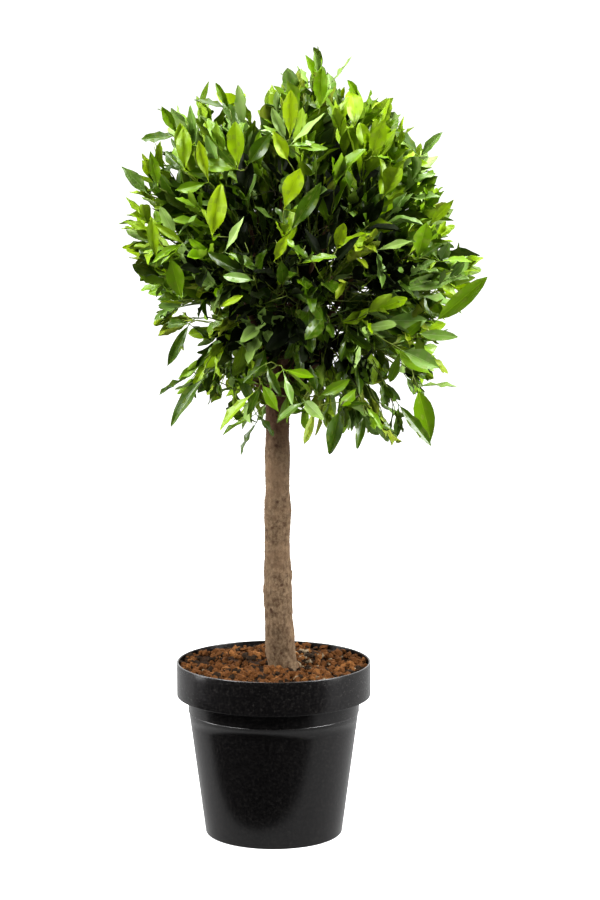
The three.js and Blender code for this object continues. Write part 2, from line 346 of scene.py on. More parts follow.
GRAIN, DUST, RUB_AND_PAINTED_SHADE = make_grain_group(), make_dust_group(), make_rub_and_painted_shade_group()
print("shared effects:", [group.name for group in (GRAIN, DUST, RUB_AND_PAINTED_SHADE)])

# %% Material helpers
def new_material(name):
    """A material with only a Principled shader: (material, nodes, links, shader)."""
    material = bpy.data.materials.new(name)
    material.use_nodes = True
    nodes, links = material.node_tree.nodes, material.node_tree.links
    return material, nodes, links, nodes["Principled BSDF"]


def placed(nodes, links, group, **values):
    """Puts a node group in a material. Each value is a socket or a plain value."""
    inputs = {label.replace("_", " "): given for label, given in values.items()}
    return new_node(nodes, links, "Group", inputs, node_tree=group).outputs


def bumped(nodes, links, shader, height, distance, strength=1.0):
    """Feeds a height through a Bump node into the shader's normal."""
    inputs = {"Height": height, "Distance": distance, "Strength": strength}
    bump = new_node(nodes, links, "Bump", inputs)
    links.new(bump.outputs[0], shader.inputs["Normal"])


# %% [markdown]
# ## Meshes from arrays
#
# Thousands of leaves made one by one would take minutes. Their points are worked out for
# all leaves at once as arrays instead, and each array becomes one mesh. A small lattice
# noise, the same on every run, roughens bark and compost.

# %% Array helpers
def new_piece(name, points, faces, materials, slots=None, uv=None, smooth=True):
    """A mesh object from points and a list of equal-sided face arrays, riding on the root."""
    mesh = bpy.data.meshes.new(name)
    corners = np.concatenate([f.ravel() for f in faces]).astype(np.int32)
    sides = np.concatenate([np.full(len(f), f.shape[1]) for f in faces])
    starts = np.concatenate([[0], np.cumsum(sides)[:-1]]).astype(np.int32)
    mesh.vertices.add(len(points))
    mesh.vertices.foreach_set("co", np.asarray(points, np.float32).ravel())
    mesh.loops.add(len(corners))
    mesh.loops.foreach_set("vertex_index", corners)
    mesh.polygons.add(len(starts))
    mesh.polygons.foreach_set("loop_start", starts)
    mesh.polygons.foreach_set("use_smooth", np.full(len(starts), smooth))
    for material in materials:
        mesh.materials.append(material)
    if slots is not None:
        mesh.polygons.foreach_set("material_index", np.concatenate(slots).astype(np.int32))
    if uv is not None:
        layer = mesh.uv_layers.new(name="OFBake")
        layer.uv.foreach_set("vector", np.asarray(uv, np.float32)[corners].ravel())
    mesh.update(calc_edges=True)
    mesh.validate()
    piece = bpy.data.objects.new(name, mesh)
    scene.collection.objects.link(piece)
    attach(piece, "root")
    triangles = int((sides - 2).sum())
    print(f"{name}: {len(points)} points, {triangles} triangles")
    return piece, triangles


def lattice_noise(places, seed):
    """Smooth noise between -1 and 1 at an array of places, one lattice cell per unit."""
    cell = np.floor(places).astype(np.int64)
    share = places - cell
    share = share * share * (3 - 2 * share)
    total = np.zeros(places.shape[:-1])
    for corner in np.ndindex(2, 2, 2):
        at = cell + np.array(corner)
        key = at[..., 0] * 374761393 + at[..., 1] * 668265263 + at[..., 2] * 2147483647
        key = (key + seed * 1442695041) & 0xFFFFFFFF
        key = ((key ^ (key >> 13)) * 1274126177) & 0xFFFFFFFF
        value = ((key ^ (key >> 16)) & 0xFFFFFF) / 0x7FFFFF - 1
        weight = np.prod(np.where(np.array(corner) == 1, share, 1 - share), axis=-1)
        total += value * weight
    return total


def layered_noise(places, seed, layers=3):
    """Lattice noise with finer layers added, each half as strong."""
    total = np.zeros(places.shape[:-1])
    for layer in range(layers):
        total += lattice_noise(places * 2.0**layer, seed + layer) / 2**layer
    return total


def grid_faces(rows, columns, around=False):
    """The quads of a grid of points, row by row, closed round its columns if asked."""
    row = np.arange(rows - 1)[:, None] * columns
    column = np.arange(columns if around else columns - 1)
    after = (column + 1) % columns
    quads = [row + column, row + after, row + columns + after, row + columns + column]
    return np.stack(quads, axis=-1).reshape(-1, 4)


def closed_skin(rings, start, end):
    """Rings of points, closed by a point at each end: (points, [quads, triangles])."""
    rows, sides = rings.shape[:2]
    side = np.arange(sides)
    after = (side + 1) % sides
    count = rows * sides
    last = count - sides
    fans = [
        np.stack([np.full(sides, count), after, side], axis=1),
        np.stack([np.full(sides, count + 1), last + side, last + after], axis=1),
    ]
    points = np.concatenate([rings.reshape(-1, 3), [start], [end]])
    return points, [grid_faces(rows, sides, around=True), np.concatenate(fans)]


def solid_points(name):
    """The points of one solid of the frame."""
    return np.array([v.co for v in frame["nodes"][name].data.vertices])


def unit(vectors):
    """Vectors scaled to length one along the last axis."""
    return vectors / np.maximum(np.linalg.norm(vectors, axis=-1, keepdims=True), 1e-12)


def level_direction(azimuth):
    """Directions in the level plane, for azimuths in radians."""
    return np.stack([np.cos(azimuth), np.sin(azimuth), np.zeros_like(azimuth)], axis=-1)


# %% [markdown]
# ## The pot
#
# A nursery pot is blown or injection moulded in black polypropylene: a plain tapering
# wall, a slightly wider collar for stacking, and an upright band at the rim. It is round,
# so one outline turned about the Z axis gives all of it, with small arcs at each edge to
# catch the light. The drain holes are cut through the floor afterwards.

# %% Pot
POT = {
    "foot_radius": 0.1135,
    "foot_round": 0.003,
    "taper": 0.13,  # growth of the wall's radius with height
    "wall": 0.0032,
    "floor": 0.0035,
    "collar_bottom": 0.206,
    "collar_step": 0.001,
    "bead": 0.6,  # radius of the collar's edge, as a share of its step
    "band_bottom": 0.232,
    "band_fillet": 0.0012,  # where the collar meets the band's underside
    "band_round": 0.0016,
    "lip_round": 0.0012,
    "segments": 192,
}
DRAIN = {"count": 8, "radius": 0.006, "circle": 0.084, "sides": 24}
GAP = 0.0003  # clear space between pieces that touch

pot_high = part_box("pot")[1]
band_radius, pot_height = pot_high.x, pot_high.z


def wall_radius(height):
    """The outside radius of the tapering wall."""
    return POT["foot_radius"] + POT["taper"] * height


def arc(radius, height, size, start, end, steps=5):
    """An arc as (radius, height) points, from one angle to another in degrees."""
    turns = [math.radians(start + (end - start) * i / steps) for i in range(steps + 1)]
    return [(radius + size * math.cos(a), height + size * math.sin(a)) for a in turns]


def straight(start, end, steps):
    """Evenly spaced (radius, height) points between two, without the ends."""
    return [
        tuple(a + (b - a) * i / steps for a, b in zip(start, end)) for i in range(1, steps)
    ]


def pot_inside(clearance):
    """The inside of the pot from its floor to the lip, drawn in by a clearance."""
    ledge = POT["band_bottom"] + POT["wall"]
    floor_top = POT["floor"] + clearance

    def inner(height):
        return wall_radius(height) - POT["wall"] - clearance

    return [
        (inner(POT["floor"]), floor_top),
        (inner(POT["collar_bottom"]), POT["collar_bottom"]),
        (inner(ledge), ledge + clearance),
        (band_radius - POT["wall"] - clearance, ledge + clearance),
    ]


def pot_outline():
    """The pot's section from its foot up round the rim and down to its floor."""
    foot, band, lip = POT["foot_round"], POT["band_round"], POT["lip_round"]
    fillet, band_bottom = POT["band_fillet"], POT["band_bottom"]
    collar = wall_radius(POT["collar_bottom"]) + POT["collar_step"]
    bead = POT["bead"] * POT["collar_step"]
    wall_top = (wall_radius(POT["collar_bottom"]), POT["collar_bottom"] - bead)
    points = arc(POT["foot_radius"] - foot, foot, foot, -90, 0)
    points += straight(points[-1], wall_top, 10) + [wall_top]
    points += arc(collar - bead, POT["collar_bottom"], bead, -60, 75)
    points += [(collar - 0.3 * bead, POT["collar_bottom"] + 2.5 * bead)]
    points += arc(collar + 0.0008 + fillet, band_bottom - fillet, fillet, 180, 90, 3)
    points += arc(band_radius - band, band_bottom + band, band, -90, 0)
    points += straight(points[-1], (band_radius, pot_height - lip), 4)
    points += arc(band_radius - lip, pot_height - lip, lip, 0, 90)
    points += arc(band_radius - POT["wall"] + lip, pot_height - lip, lip, 90, 180)
    return points + pot_inside(0)[::-1]


def turned(outline, segments):
    """An outline turned about the Z axis, closed by a point on the axis at each end."""
    outline = np.array(outline)
    azimuth = 2 * np.pi * np.arange(segments) / segments
    rings = outline[:, None, :1] * level_direction(azimuth)[None]
    rings[..., 2] = outline[:, None, 1]
    return closed_skin(rings, [0, 0, outline[0, 1]], [0, 0, outline[-1, 1]])


def black_plastic():
    """Satin black polypropylene: fine grain, faint dust, a rubbed rim, and painted shade in its
    hollows.
    """
    material, nodes, links, shader = new_material("black_polypropylene")
    grain = placed(nodes, links, GRAIN, Scale=170.0, Roughness=0.65)
    base = mixed_colour(
        nodes, links, grain["Coarse"], linear(9, 8, 8), linear(17, 16, 17)
    )
    # Painted shade: the pot's hollows are darkened a little, and what stands proud is rubbed
    # paler
    pointiness_tone = placed(
        nodes, links, RUB_AND_PAINTED_SHADE,
        Color=base, Worn_Color=linear(42, 42, 43), Deep_Color=linear(7, 7, 7),
        Worn=0.7, Deep=0.4,
    )
    dusty = placed(
        nodes, links, DUST,
        Color=pointiness_tone["Color"], Dust_Color=linear(120, 116, 110), Amount=0.22, Scale=240.0,
    )
    links.new(dusty["Color"], shader.inputs["Base Color"])
    rough = value_range(nodes, links, grain["Fine"], 0.3, 0.7, 0.17, 0.27)
    rough = arithmetic(
        nodes, links, "ADD", rough,
        arithmetic(nodes, links, "MULTIPLY", dusty["Mask"], 0.6),
    )
    links.new(rough, shader.inputs["Roughness"])
    shader.inputs["Specular IOR Level"].default_value = 0.45
    bumped(nodes, links, shader, grain["Fine"], 0.00022, 0.35)
    return material


pot, _ = new_piece("moulded_pot", *turned(pot_outline(), POT["segments"]), [black_plastic()])
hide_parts("pot")

# The holes are cut with short rods. The rods go once the cut has been applied.
rods = bpy.data.meshes.new("drain_rods")
rod_points, rod_faces = [], []
for hole in range(DRAIN["count"]):
    azimuth = 2 * math.pi * (hole + 0.5) / DRAIN["count"]
    x, y = DRAIN["circle"] * math.cos(azimuth), DRAIN["circle"] * math.sin(azimuth)
    low = [len(rod_points) + i for i in range(DRAIN["sides"])]
    high = [i + DRAIN["sides"] for i in low]
    circle = arc(x, y, DRAIN["radius"], 0, 360, DRAIN["sides"])[:-1]
    for height in (-2 * POT["floor"], 3 * POT["floor"]):
        rod_points += [(*place, height) for place in circle]
    walls = zip(low, low[1:] + low[:1], high[1:] + high[:1], high)
    rod_faces += [low[::-1], high, *walls]
rods.from_pydata(rod_points, [], rod_faces)
cutter = bpy.data.objects.new("drain_rods", rods)
scene.collection.objects.link(cutter)
cut = pot.modifiers.new("drain_holes", "BOOLEAN")
cut.operation = "DIFFERENCE"
cut.object = cutter
bpy.context.view_layer.update()
whole = pot.data
pot.data = bpy.data.meshes.new_from_object(
    pot.evaluated_get(bpy.context.evaluated_depsgraph_get())
)
pot.modifiers.clear()
bpy.data.meshes.remove(whole)
bpy.data.objects.remove(cutter)
bpy.data.meshes.remove(rods)
print("pot with", DRAIN["count"], "drain holes:", len(pot.data.polygons), "faces")

# %% [markdown]
# ## The compost
#
# Under the crumbs lies one closed body that fills the pot, with an uneven top. The top
# layer is loose: about five thousand crumbs of coir and composted bark, half sunk in it,
# each a dented ball of twenty faces, with some splinters between them. Colours go by the
# crumb: most are red-brown, some tan or black, and a few grey, mostly behind the stem.

# %% Compost body
SOIL = {"rings": 60, "segments": 180, "heap": 0.005, "lump": 0.0045, "lump_size": 0.013}
MOUND = {"x": -0.014, "y": -0.055, "reach": 0.034, "rise": 0.007}  # in front of the stem

soil_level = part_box("stem")[0].z - GAP
soil_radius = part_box("soil")[1].x


def soil_top(x, y):
    """The height of the compost's uneven top."""
    out = np.hypot(x, y)
    heap = SOIL["heap"] * np.clip(1.5 * out / soil_radius - 0.5, 0, 1)
    heap = heap * np.clip(0.6 + 5 * y, 0.2, 1)
    off = np.hypot(x - MOUND["x"], y - MOUND["y"]) / MOUND["reach"]
    heap = heap + MOUND["rise"] * np.exp(-(off**2))
    places = np.stack([x, y, np.zeros_like(x)], axis=-1) / SOIL["lump_size"]
    lumps = SOIL["lump"] * np.clip(out / 0.05, 0.3, 1)
    return soil_level - 0.001 + heap + 0.7 * lumps * layered_noise(places, 11)


def compost_material(name, dark, light, scale):
    """Matt crumbs: two browns, with painted shade in the hollows, and paler on what stands
    proud.
    """
    material, nodes, links, shader = new_material(name)
    grain = placed(nodes, links, GRAIN, Scale=scale, Roughness=0.75)
    mottled = value_range(nodes, links, grain["Coarse"], 0.3, 0.7, 0.0, 1.0)
    base = mixed_colour(nodes, links, mottled, dark, light)
    # Painted shade: the hollows on and between the crumbs are darkened strongly
    pointiness_tone = placed(
        nodes, links, RUB_AND_PAINTED_SHADE,
        Color=base, Worn_Color=light, Deep_Color=linear(15, 8, 3), Worn=0.3, Deep=0.9,
    )
    links.new(pointiness_tone["Color"], shader.inputs["Base Color"])
    shader.inputs["Roughness"].default_value = 0.95
    shader.inputs["Specular IOR Level"].default_value = 0.2
    bumped(nodes, links, shader, grain["Fine"], 0.0006, 0.8)
    return material


share = np.linspace(1, 0, SOIL["rings"])[:-1]
azimuth = 2 * np.pi * np.arange(SOIL["segments"]) / SOIL["segments"]
radii = soil_radius * share[:, None]
x, y = radii * np.cos(azimuth), radii * np.sin(azimuth)
top_rings = np.stack([x, y, soil_top(x, y)], axis=-1)
wall_rings = np.array(
    [
        [(r * math.cos(a), r * math.sin(a), h) for a in azimuth]
        for r, h in pot_inside(GAP)
    ]
)
rings = np.concatenate([wall_rings, top_rings])
middle_height = soil_top(np.zeros(1), np.zeros(1))[0]
points, faces = closed_skin(rings, [0, 0, rings[0, 0, 2]], [0, 0, middle_height])
# The body is darker than every crumb and shows in the gaps between them
compost, _ = new_piece(
    "compost_body",
    points,
    faces,
    [compost_material("dark_compost_body", linear(18, 10, 4), linear(52, 32, 15), 190.0)],
)
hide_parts("soil")

# %% Crumbs and splinters
CRUMBS = {
    "count": 5200, "small": 0.0016, "large": 0.0092, "seed": 5,
    "clump": 0.017, "bare": -0.16,  # they lie in clumps this large, with bare hollows between
    "under_flare": 0.92,  # how close to the stem they lie, as a share of its radius
}
SHARES = {"tan": 0.14, "black": 0.24, "grey": 0.015}
GREY_PATCH = {"x": 0.055, "y": 0.075, "reach": 0.045, "more": 0.3}
SPLINTERS = {"count": 260, "short": 0.007, "long": 0.02, "thick": 0.0007, "above": 0.0036}
# Along a splinter: stations as shares of its length, and its thickness at each
STATIONS = np.array([-0.5, -0.2, 0.2, 0.5])
THICKNESS = np.array([0.35, 1.0, 0.9, 0.3])


def ball_of_twenty():
    """The points and faces of a regular solid with twenty faces."""
    golden = (1 + 5**0.5) / 2
    rows = [(-1, golden, 0), (1, golden, 0), (-1, -golden, 0), (1, -golden, 0)]
    points = rows + [(z, x, y) for x, y, z in rows] + [(y, z, x) for x, y, z in rows]
    points = unit(np.array(points, float))
    faces = []
    near = np.linalg.norm(points[:, None] - points[None], axis=-1) < 1.2
    for a, b, c in itertools.combinations(range(len(points)), 3):
        if near[a, b] and near[b, c] and near[a, c]:
            normal = np.cross(points[b] - points[a], points[c] - points[a])
            faces.append((a, b, c) if normal @ points[a] > 0 else (a, c, b))
    return points, np.array(faces)


rng = np.random.default_rng(CRUMBS["seed"])
stem_foot = solid_points("stem")
stem_foot = stem_foot[stem_foot[:, 2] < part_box("stem")[0].z + 0.001]
stem_middle_x = (stem_foot[:, 0].min() + stem_foot[:, 0].max()) / 2
stem_clearance = np.ptp(stem_foot[:, 1]) / 2 * CRUMBS["under_flare"]


def scattered(count, margin):
    """Random places on the compost, clear of the stem and the pot's wall."""
    out = (soil_radius - margin) * np.sqrt(rng.random(count * 2))
    azimuth = 2 * np.pi * rng.random(count * 2)
    x, y = out * np.cos(azimuth), out * np.sin(azimuth)
    clear = np.hypot(x - stem_middle_x, y) > stem_clearance
    places = np.stack([x, y, np.zeros_like(x)], axis=-1) / CRUMBS["clump"]
    clear &= layered_noise(places, 13) > CRUMBS["bare"]
    return x[clear][:count], y[clear][:count]


ball, ball_faces = ball_of_twenty()
x, y = scattered(CRUMBS["count"], 0.003)
count = len(x)
size = CRUMBS["small"] + (CRUMBS["large"] - CRUMBS["small"]) * rng.random(count) ** 2.6
stretch = rng.uniform(0.55, 1.15, (count, 1, 3))
dents = rng.uniform(0.72, 1.2, (count, len(ball), 1))
turn = unit(rng.normal(size=(count, 4)))
w, i, j, k = turn.T
spin = np.array(
    [
        [1 - 2 * (j * j + k * k), 2 * (i * j - k * w), 2 * (i * k + j * w)],
        [2 * (i * j + k * w), 1 - 2 * (i * i + k * k), 2 * (j * k - i * w)],
        [2 * (i * k - j * w), 2 * (j * k + i * w), 1 - 2 * (i * i + j * j)],
    ]
).transpose(2, 0, 1)
crumbs = np.einsum("nij,npj->npi", spin, ball * (stretch * dents) * size[:, None, None])
height = soil_top(x, y) + size * rng.uniform(-0.15, 0.55, count)
crumbs += np.stack([x, y, height], axis=-1)[:, None, :]
crumb_faces = ball_faces[None] + len(ball) * np.arange(count)[:, None, None]

off = np.hypot(x - GREY_PATCH["x"], y - GREY_PATCH["y"]) / GREY_PATCH["reach"]
grey_share = SHARES["grey"] + GREY_PATCH["more"] * np.exp(-(off**2))
draw = rng.random(count)
kind = np.zeros(count, int)
kind[draw < SHARES["tan"] + SHARES["black"]] = 1
kind[draw < SHARES["black"]] = 2
kind[draw > 1 - grey_share] = 3
CRUMB_COLOURS = {
    "red_brown_coir": ((46, 26, 8), (88, 55, 24)),
    "tan_bark": ((64, 41, 19), (114, 76, 40)),
    "black_bark": ((14, 9, 3), (36, 23, 9)),
    "grey_grit": ((72, 62, 48), (124, 110, 90)),
}
crumb_kinds = [
    compost_material(name, linear(*dark), linear(*light), 420.0)
    for name, (dark, light) in CRUMB_COLOURS.items()
]
crumb_piece, _ = new_piece(
    "compost_crumbs",
    crumbs.reshape(-1, 3),
    [crumb_faces.reshape(-1, 3)],
    crumb_kinds,
    [np.repeat(kind, len(ball_faces))],
    smooth=False,
)
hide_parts("soil")

x, y = scattered(SPLINTERS["count"], 0.02)
count = len(x)
azimuth = 2 * np.pi * rng.random(count)
along = level_direction(azimuth) + np.array([0, 0, 1]) * rng.normal(0, 0.12, (count, 1))
across = np.cross(along, [0, 0, 1.0])
length = rng.uniform(SPLINTERS["short"], SPLINTERS["long"], count)[:, None, None]
bend = rng.uniform(-0.12, 0.12, count)[:, None, None] * length
stations = STATIONS[None, :, None]
middle = np.stack([x, y, soil_top(x, y) + SPLINTERS["above"]], axis=-1)[:, None]
spine = middle + along[:, None] * stations * length
spine = spine + across[:, None] * bend * (1 - 4 * stations**2)
corner = 2 * np.pi * np.arange(3) / 3
sideways, upwards = np.cos(corner)[:, None], np.sin(corner)[:, None]
ring = across[:, None, None] * sideways + np.array([0, 0, 1.0]) * upwards
rods = spine[:, :, None, :] + SPLINTERS["thick"] * THICKNESS[None, :, None, None] * ring
first = rods[0].size // 3 * np.arange(count)[:, None, None]
rod_quads = grid_faces(len(STATIONS), 3, around=True)[None] + first
rod_ends = np.array([[0, 2, 1], [9, 10, 11]])[None] + first
kind = rng.integers(0, 3, count)
splinters, _ = new_piece(
    "compost_splinters",
    rods.reshape(-1, 3),
    [rod_quads.reshape(-1, 4), rod_ends.reshape(-1, 3)],
    [crumb_kinds[1], crumb_kinds[0], crumb_kinds[3]],
    [np.repeat(kind, rod_quads.shape[1]), np.repeat(kind, rod_ends.shape[1])],
)
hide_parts("soil")

# %% [markdown]
# ## The stem
#
# Bay bark is thin and grey-brown, faintly ribbed along the stem, with small knots where
# side shoots were rubbed off, and a pruning scar under the head. The solid stem gives the
# taper, lean and root flare: its rings are read back from the frame, and a fine grid is
# laid over them and pushed in and out along its own directions. Relief in the mesh shows
# at the edges of the stem, where bump alone would leave a smooth outline.

# %% Stem relief
STEM = {
    "columns": 104,
    "row": 0.0021,  # between rows of the grid on the clear stem
    "leader_row": 0.006,
    "sunk": 0.004,  # how far the grid goes into the compost
    "full_relief": 0.02,  # the radius from which relief is whole
}
RELIEF = {"rib": 0.00035, "ripple": 0.0009, "pore": 0.0006, "swelling": 0.0011}
# Size of each kind of relief: along the stem for ribs and swellings, each way for pores
RELIEF_SIZE = {"rib": 0.07, "ripple": 0.03, "swelling": 0.045, "pore": (0.0035, 0.0035, 0.0022)}
RIBS = 6.5  # how closely ribs lie round the stem
# Marks on the bark: height, azimuth in degrees, radius, and rise above the bark
MARKS = [
    (0.433, -8, 0.0065, 0.0042),
    (0.409, 186, 0.0060, 0.0034),
    (0.352, -108, 0.0075, 0.0026),
    (0.318, -62, 0.0060, 0.0030),
    (0.471, -100, 0.0045, 0.0016),
    (0.533, -70, 0.0050, 0.0018),
    (0.580, -118, 0.0040, 0.0014),
    (0.622, -48, 0.0045, 0.0015),
    (0.655, -86, 0.0050, 0.0017),
    (0.300, 175, 0.0080, 0.0030),
    (0.384, 40, 0.0060, 0.0026),
    (0.500, 110, 0.0055, 0.0022),
    (0.590, 70, 0.0050, 0.0020),
    (0.690, -64, 0.0085, 0.0030),
]
DENTED_MARK = 0.55  # share of a mark's radius that is its sunken middle

stem_points = solid_points("stem")
ring_heights = np.unique(np.round(stem_points[:, 2], 5))
ring_middles, ring_radii = [], []
around = np.linspace(-np.pi, np.pi, STEM["columns"], endpoint=False)
for height in ring_heights:
    ring = stem_points[np.abs(stem_points[:, 2] - height) < 1e-5]
    ring = np.unique(np.round(ring, 6), axis=0)
    middle = ring.mean(0)
    ring = ring[np.hypot(*(ring - middle)[:, :2].T) > 0.001]
    azimuth = np.arctan2(*(ring - middle)[:, 1::-1].T)
    radius = np.hypot(*(ring - middle)[:, :2].T)
    order = np.argsort(azimuth)
    ring_middles.append(middle)
    ring_radii.append(np.interp(around, azimuth[order], radius[order], period=2 * np.pi))
ring_middles, ring_radii = np.array(ring_middles), np.array(ring_radii)
fork_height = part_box("leaves_lower_1")[0].z + 0.1


def stem_middle(height):
    """The middle of the stem at a height."""
    return np.array([np.interp(height, ring_heights, ring_middles[:, i]) for i in range(3)])


def stem_radius(height):
    """The mean radius of the stem at a height."""
    return float(np.interp(height, ring_heights, ring_radii.mean(1)))


def bark_relief(places, azimuth, height):
    """How far the bark stands out from the plain stem, in metres."""
    turn = level_direction(azimuth)
    up = np.array([0, 0, 1.0]) * height[..., None]
    rib = 0.5 - np.abs(layered_noise(turn * RIBS + up / RELIEF_SIZE["rib"], 21)) * 1.8
    ripple = layered_noise(places / RELIEF_SIZE["ripple"], 31)
    swelling = lattice_noise(up / RELIEF_SIZE["swelling"] + turn, 41)
    pores = lattice_noise(places / np.array(RELIEF_SIZE["pore"]), 51)
    relief = RELIEF["rib"] * rib + RELIEF["ripple"] * ripple
    relief += RELIEF["swelling"] * swelling
    return relief + RELIEF["pore"] * (np.clip(pores, -0.4, 1) - 0.1)


def marks_relief(azimuth, height, radius):
    """The small raised knots with sunken middles that rubbed-off shoots leave."""
    relief = np.zeros_like(azimuth)
    for mark_height, mark_azimuth, size, rise in MARKS:
        aside = np.angle(np.exp(1j * (azimuth - math.radians(mark_azimuth)))) * radius
        off = np.hypot(aside, (height - mark_height) * 0.8) / size
        relief += rise * np.exp(-(off**2) * 1.6)
        relief -= 0.8 * rise * np.exp(-((off / DENTED_MARK) ** 2) * 2.5)
    return relief


clear = np.arange(ring_heights[0] - STEM["sunk"], fork_height, STEM["row"])
leader = np.arange(fork_height, ring_heights[-1], STEM["leader_row"])
rows = np.concatenate([clear, leader, ring_heights[-1:]])
radius = np.stack(
    [np.interp(rows, ring_heights, ring_radii[:, i]) for i in range(STEM["columns"])], axis=1
)
middles = np.array([stem_middle(row) for row in rows])
middles[:, 2] = rows
azimuth = np.broadcast_to(around, radius.shape)
height = np.broadcast_to(rows[:, None], radius.shape)
bare = middles[:, None] + level_direction(azimuth) * radius[..., None]
slim = np.clip(radius / STEM["full_relief"], 0.2, 1)  # relief fades on the thin leader
radius = radius + slim * (
    bark_relief(bare, azimuth, height) + marks_relief(azimuth, height, radius)
)
skin = middles[:, None] + level_direction(azimuth) * radius[..., None]
print("stem rings read:", len(ring_heights), "rows laid:", len(rows))

# %% Bark finish
BARK = {
    "patches": 26,  # patches of flush and of pits, to the metre
    "pits": 70,
    "shaded": (-0.12, -0.03),  # below the fork, where the stem goes into the head's shade
    "pointiness_tone": linear(146, 126, 102),
    # Painted shade in the crevices of the bark
    "deep": linear(44, 25, 11),
    "dust": linear(140, 126, 106),
    "specks": linear(52, 28, 9),
    "in_pits": linear(48, 25, 7),
}


def bark_material(name, dark, light, flush, shade, scale):
    """Thin bark: mottled along the limb, pale where it stands proud, with dust and pits, and
    painted shade in its crevices and where it goes into the head's shade.
    """
    material, nodes, links, shader = new_material(name)
    grain = placed(nodes, links, GRAIN, Scale=scale, Drawn_Out=1.4, Roughness=0.75)
    mottled = value_range(nodes, links, grain["Coarse"], 0.36, 0.64, 0.0, 1.0)
    base = mixed_colour(nodes, links, mottled, dark, light)
    place = new_node(nodes, links, "TexCoord").outputs["Object"]
    inputs = {"Vector": place, "Scale": BARK["patches"], "Detail": 4}
    patches = new_node(nodes, links, "TexNoise", inputs)
    rosy = value_range(nodes, links, patches.outputs["Fac"], 0.45, 0.62, 0.0, 0.6)
    base = mixed_colour(nodes, links, rosy, base, flush)
    split = new_node(nodes, links, "SeparateXYZ", {0: place})
    low, high = (fork_height + drop for drop in BARK["shaded"])
    shaded = value_range(nodes, links, split.outputs["Z"], low, high, 0.0, 0.85)
    base = mixed_colour(nodes, links, shaded, base, shade)
    # Painted shade in the crevices, by the pointiness; what stands proud is paler with wear
    pointiness_tone = placed(
        nodes, links, RUB_AND_PAINTED_SHADE,
        Color=base, Worn_Color=BARK["pointiness_tone"], Deep_Color=BARK["deep"], Worn=0.55, Deep=0.85,
    )
    dusty = placed(
        nodes, links, DUST,
        Color=pointiness_tone["Color"], Dust_Color=BARK["dust"], Amount=0.35, Scale=90.0,
    )
    specks = value_range(nodes, links, grain["Fine"], 0.40, 0.32, 0.0, 0.8)
    speckled = mixed_colour(nodes, links, specks, dusty["Color"], BARK["specks"])
    pits = new_node(nodes, links, "TexVoronoi", {"Vector": place, "Scale": BARK["pits"]})
    in_pit = value_range(nodes, links, pits.outputs["Distance"], 0.26, 0.12, 0.0, 0.85)
    chosen = value_range(nodes, links, patches.outputs["Fac"], 0.5, 0.42, 0.0, 1.0)
    pitted = arithmetic(nodes, links, "MULTIPLY", in_pit, chosen)
    speckled = mixed_colour(nodes, links, pitted, speckled, BARK["in_pits"])
    links.new(speckled, shader.inputs["Base Color"])
    rough = value_range(nodes, links, grain["Coarse"], 0.3, 0.7, 0.78, 0.92)
    links.new(rough, shader.inputs["Roughness"])
    shader.inputs["Specular IOR Level"].default_value = 0.3
    bumped(nodes, links, shader, grain["Fine"], 0.0012, 0.7)
    return material


stem_bark = bark_material(
    "grey_brown_bark", linear(62, 44, 26), linear(106, 89, 69),
    linear(102, 82, 62), linear(74, 42, 26), 150.0,
)
points, faces = closed_skin(skin, middles[0], middles[-1])
stem, _ = new_piece("stem_with_bark", points, faces, [stem_bark])
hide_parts("stem")

# %% [markdown]
# ## The boughs
#
# Thirteen boughs leave the stem between the clear part and the top of its leader, and
# each carries one mass of the head. A bough starts inside the stem with a swollen collar,
# bends out and up, and tapers to a twig where its mass begins. Each is a tube swept along
# a curve from the stem to the tip of the solid bough.

# %% Boughs
# For each ring of masses: boughs in it, height where the first leaves the stem, how far
# up the last one leaves, radius at the stem, and where each bends, as shares of its way
# sideways and upwards
RINGS = {
    "lower": {"count": 4, "leaves": 0.700, "stagger": 0.034, "radius": 0.0088,
              "bend": (0.42, 0.72)},
    "middle": {"count": 5, "leaves": 0.752, "stagger": 0.046, "radius": 0.0080,
               "bend": (0.62, 0.46)},
    "upper": {"count": 4, "leaves": 0.822, "stagger": 0.060, "radius": 0.0062,
              "bend": (0.62, 0.42)},
}
BOUGH = {
    "tip": 0.0036, "steps": 44, "sides": 20,
    "collar": 0.45, "collar_fade": 0.014,  # share that it adds, and how soon it fades
    "relief": 0.09, "relief_size": 0.009,  # share of the radius, and size of the ripples
}
LEADER = {"length": 0.16, "short_of_tip": 0.002, "steps": 24}


def swept(spine, radii, sides, relief=None):
    """A closed tube along a spine, without a twist: (points, [quads, triangles])."""
    along = unit(np.gradient(spine, axis=0))
    start = np.array([1.0, 0, 0]) if abs(along[0, 0]) < 0.8 else np.array([0, 1.0, 0])
    first = np.empty_like(spine)
    side = unit(start - along[0] * start.dot(along[0]))
    for step in range(len(spine)):
        side = side - along[step] * side.dot(along[step])
        side = side / np.linalg.norm(side)
        first[step] = side
    second = np.cross(along, first)
    turn = 2 * np.pi * np.arange(sides) / sides
    ring = (
        first[:, None] * np.cos(turn)[:, None] + second[:, None] * np.sin(turn)[:, None]
    )
    reach = np.broadcast_to(np.asarray(radii)[:, None], (len(spine), sides)).copy()
    if relief is not None:
        reach += relief(spine[:, None] + ring * reach[..., None], reach)
    return closed_skin(spine[:, None] + ring * reach[..., None], spine[0], spine[-1])


def bough_relief(places, reach):
    """Bark on a bough: ripples that shrink with its thickness."""
    return reach * BOUGH["relief"] * layered_noise(places / BOUGH["relief_size"], 61)


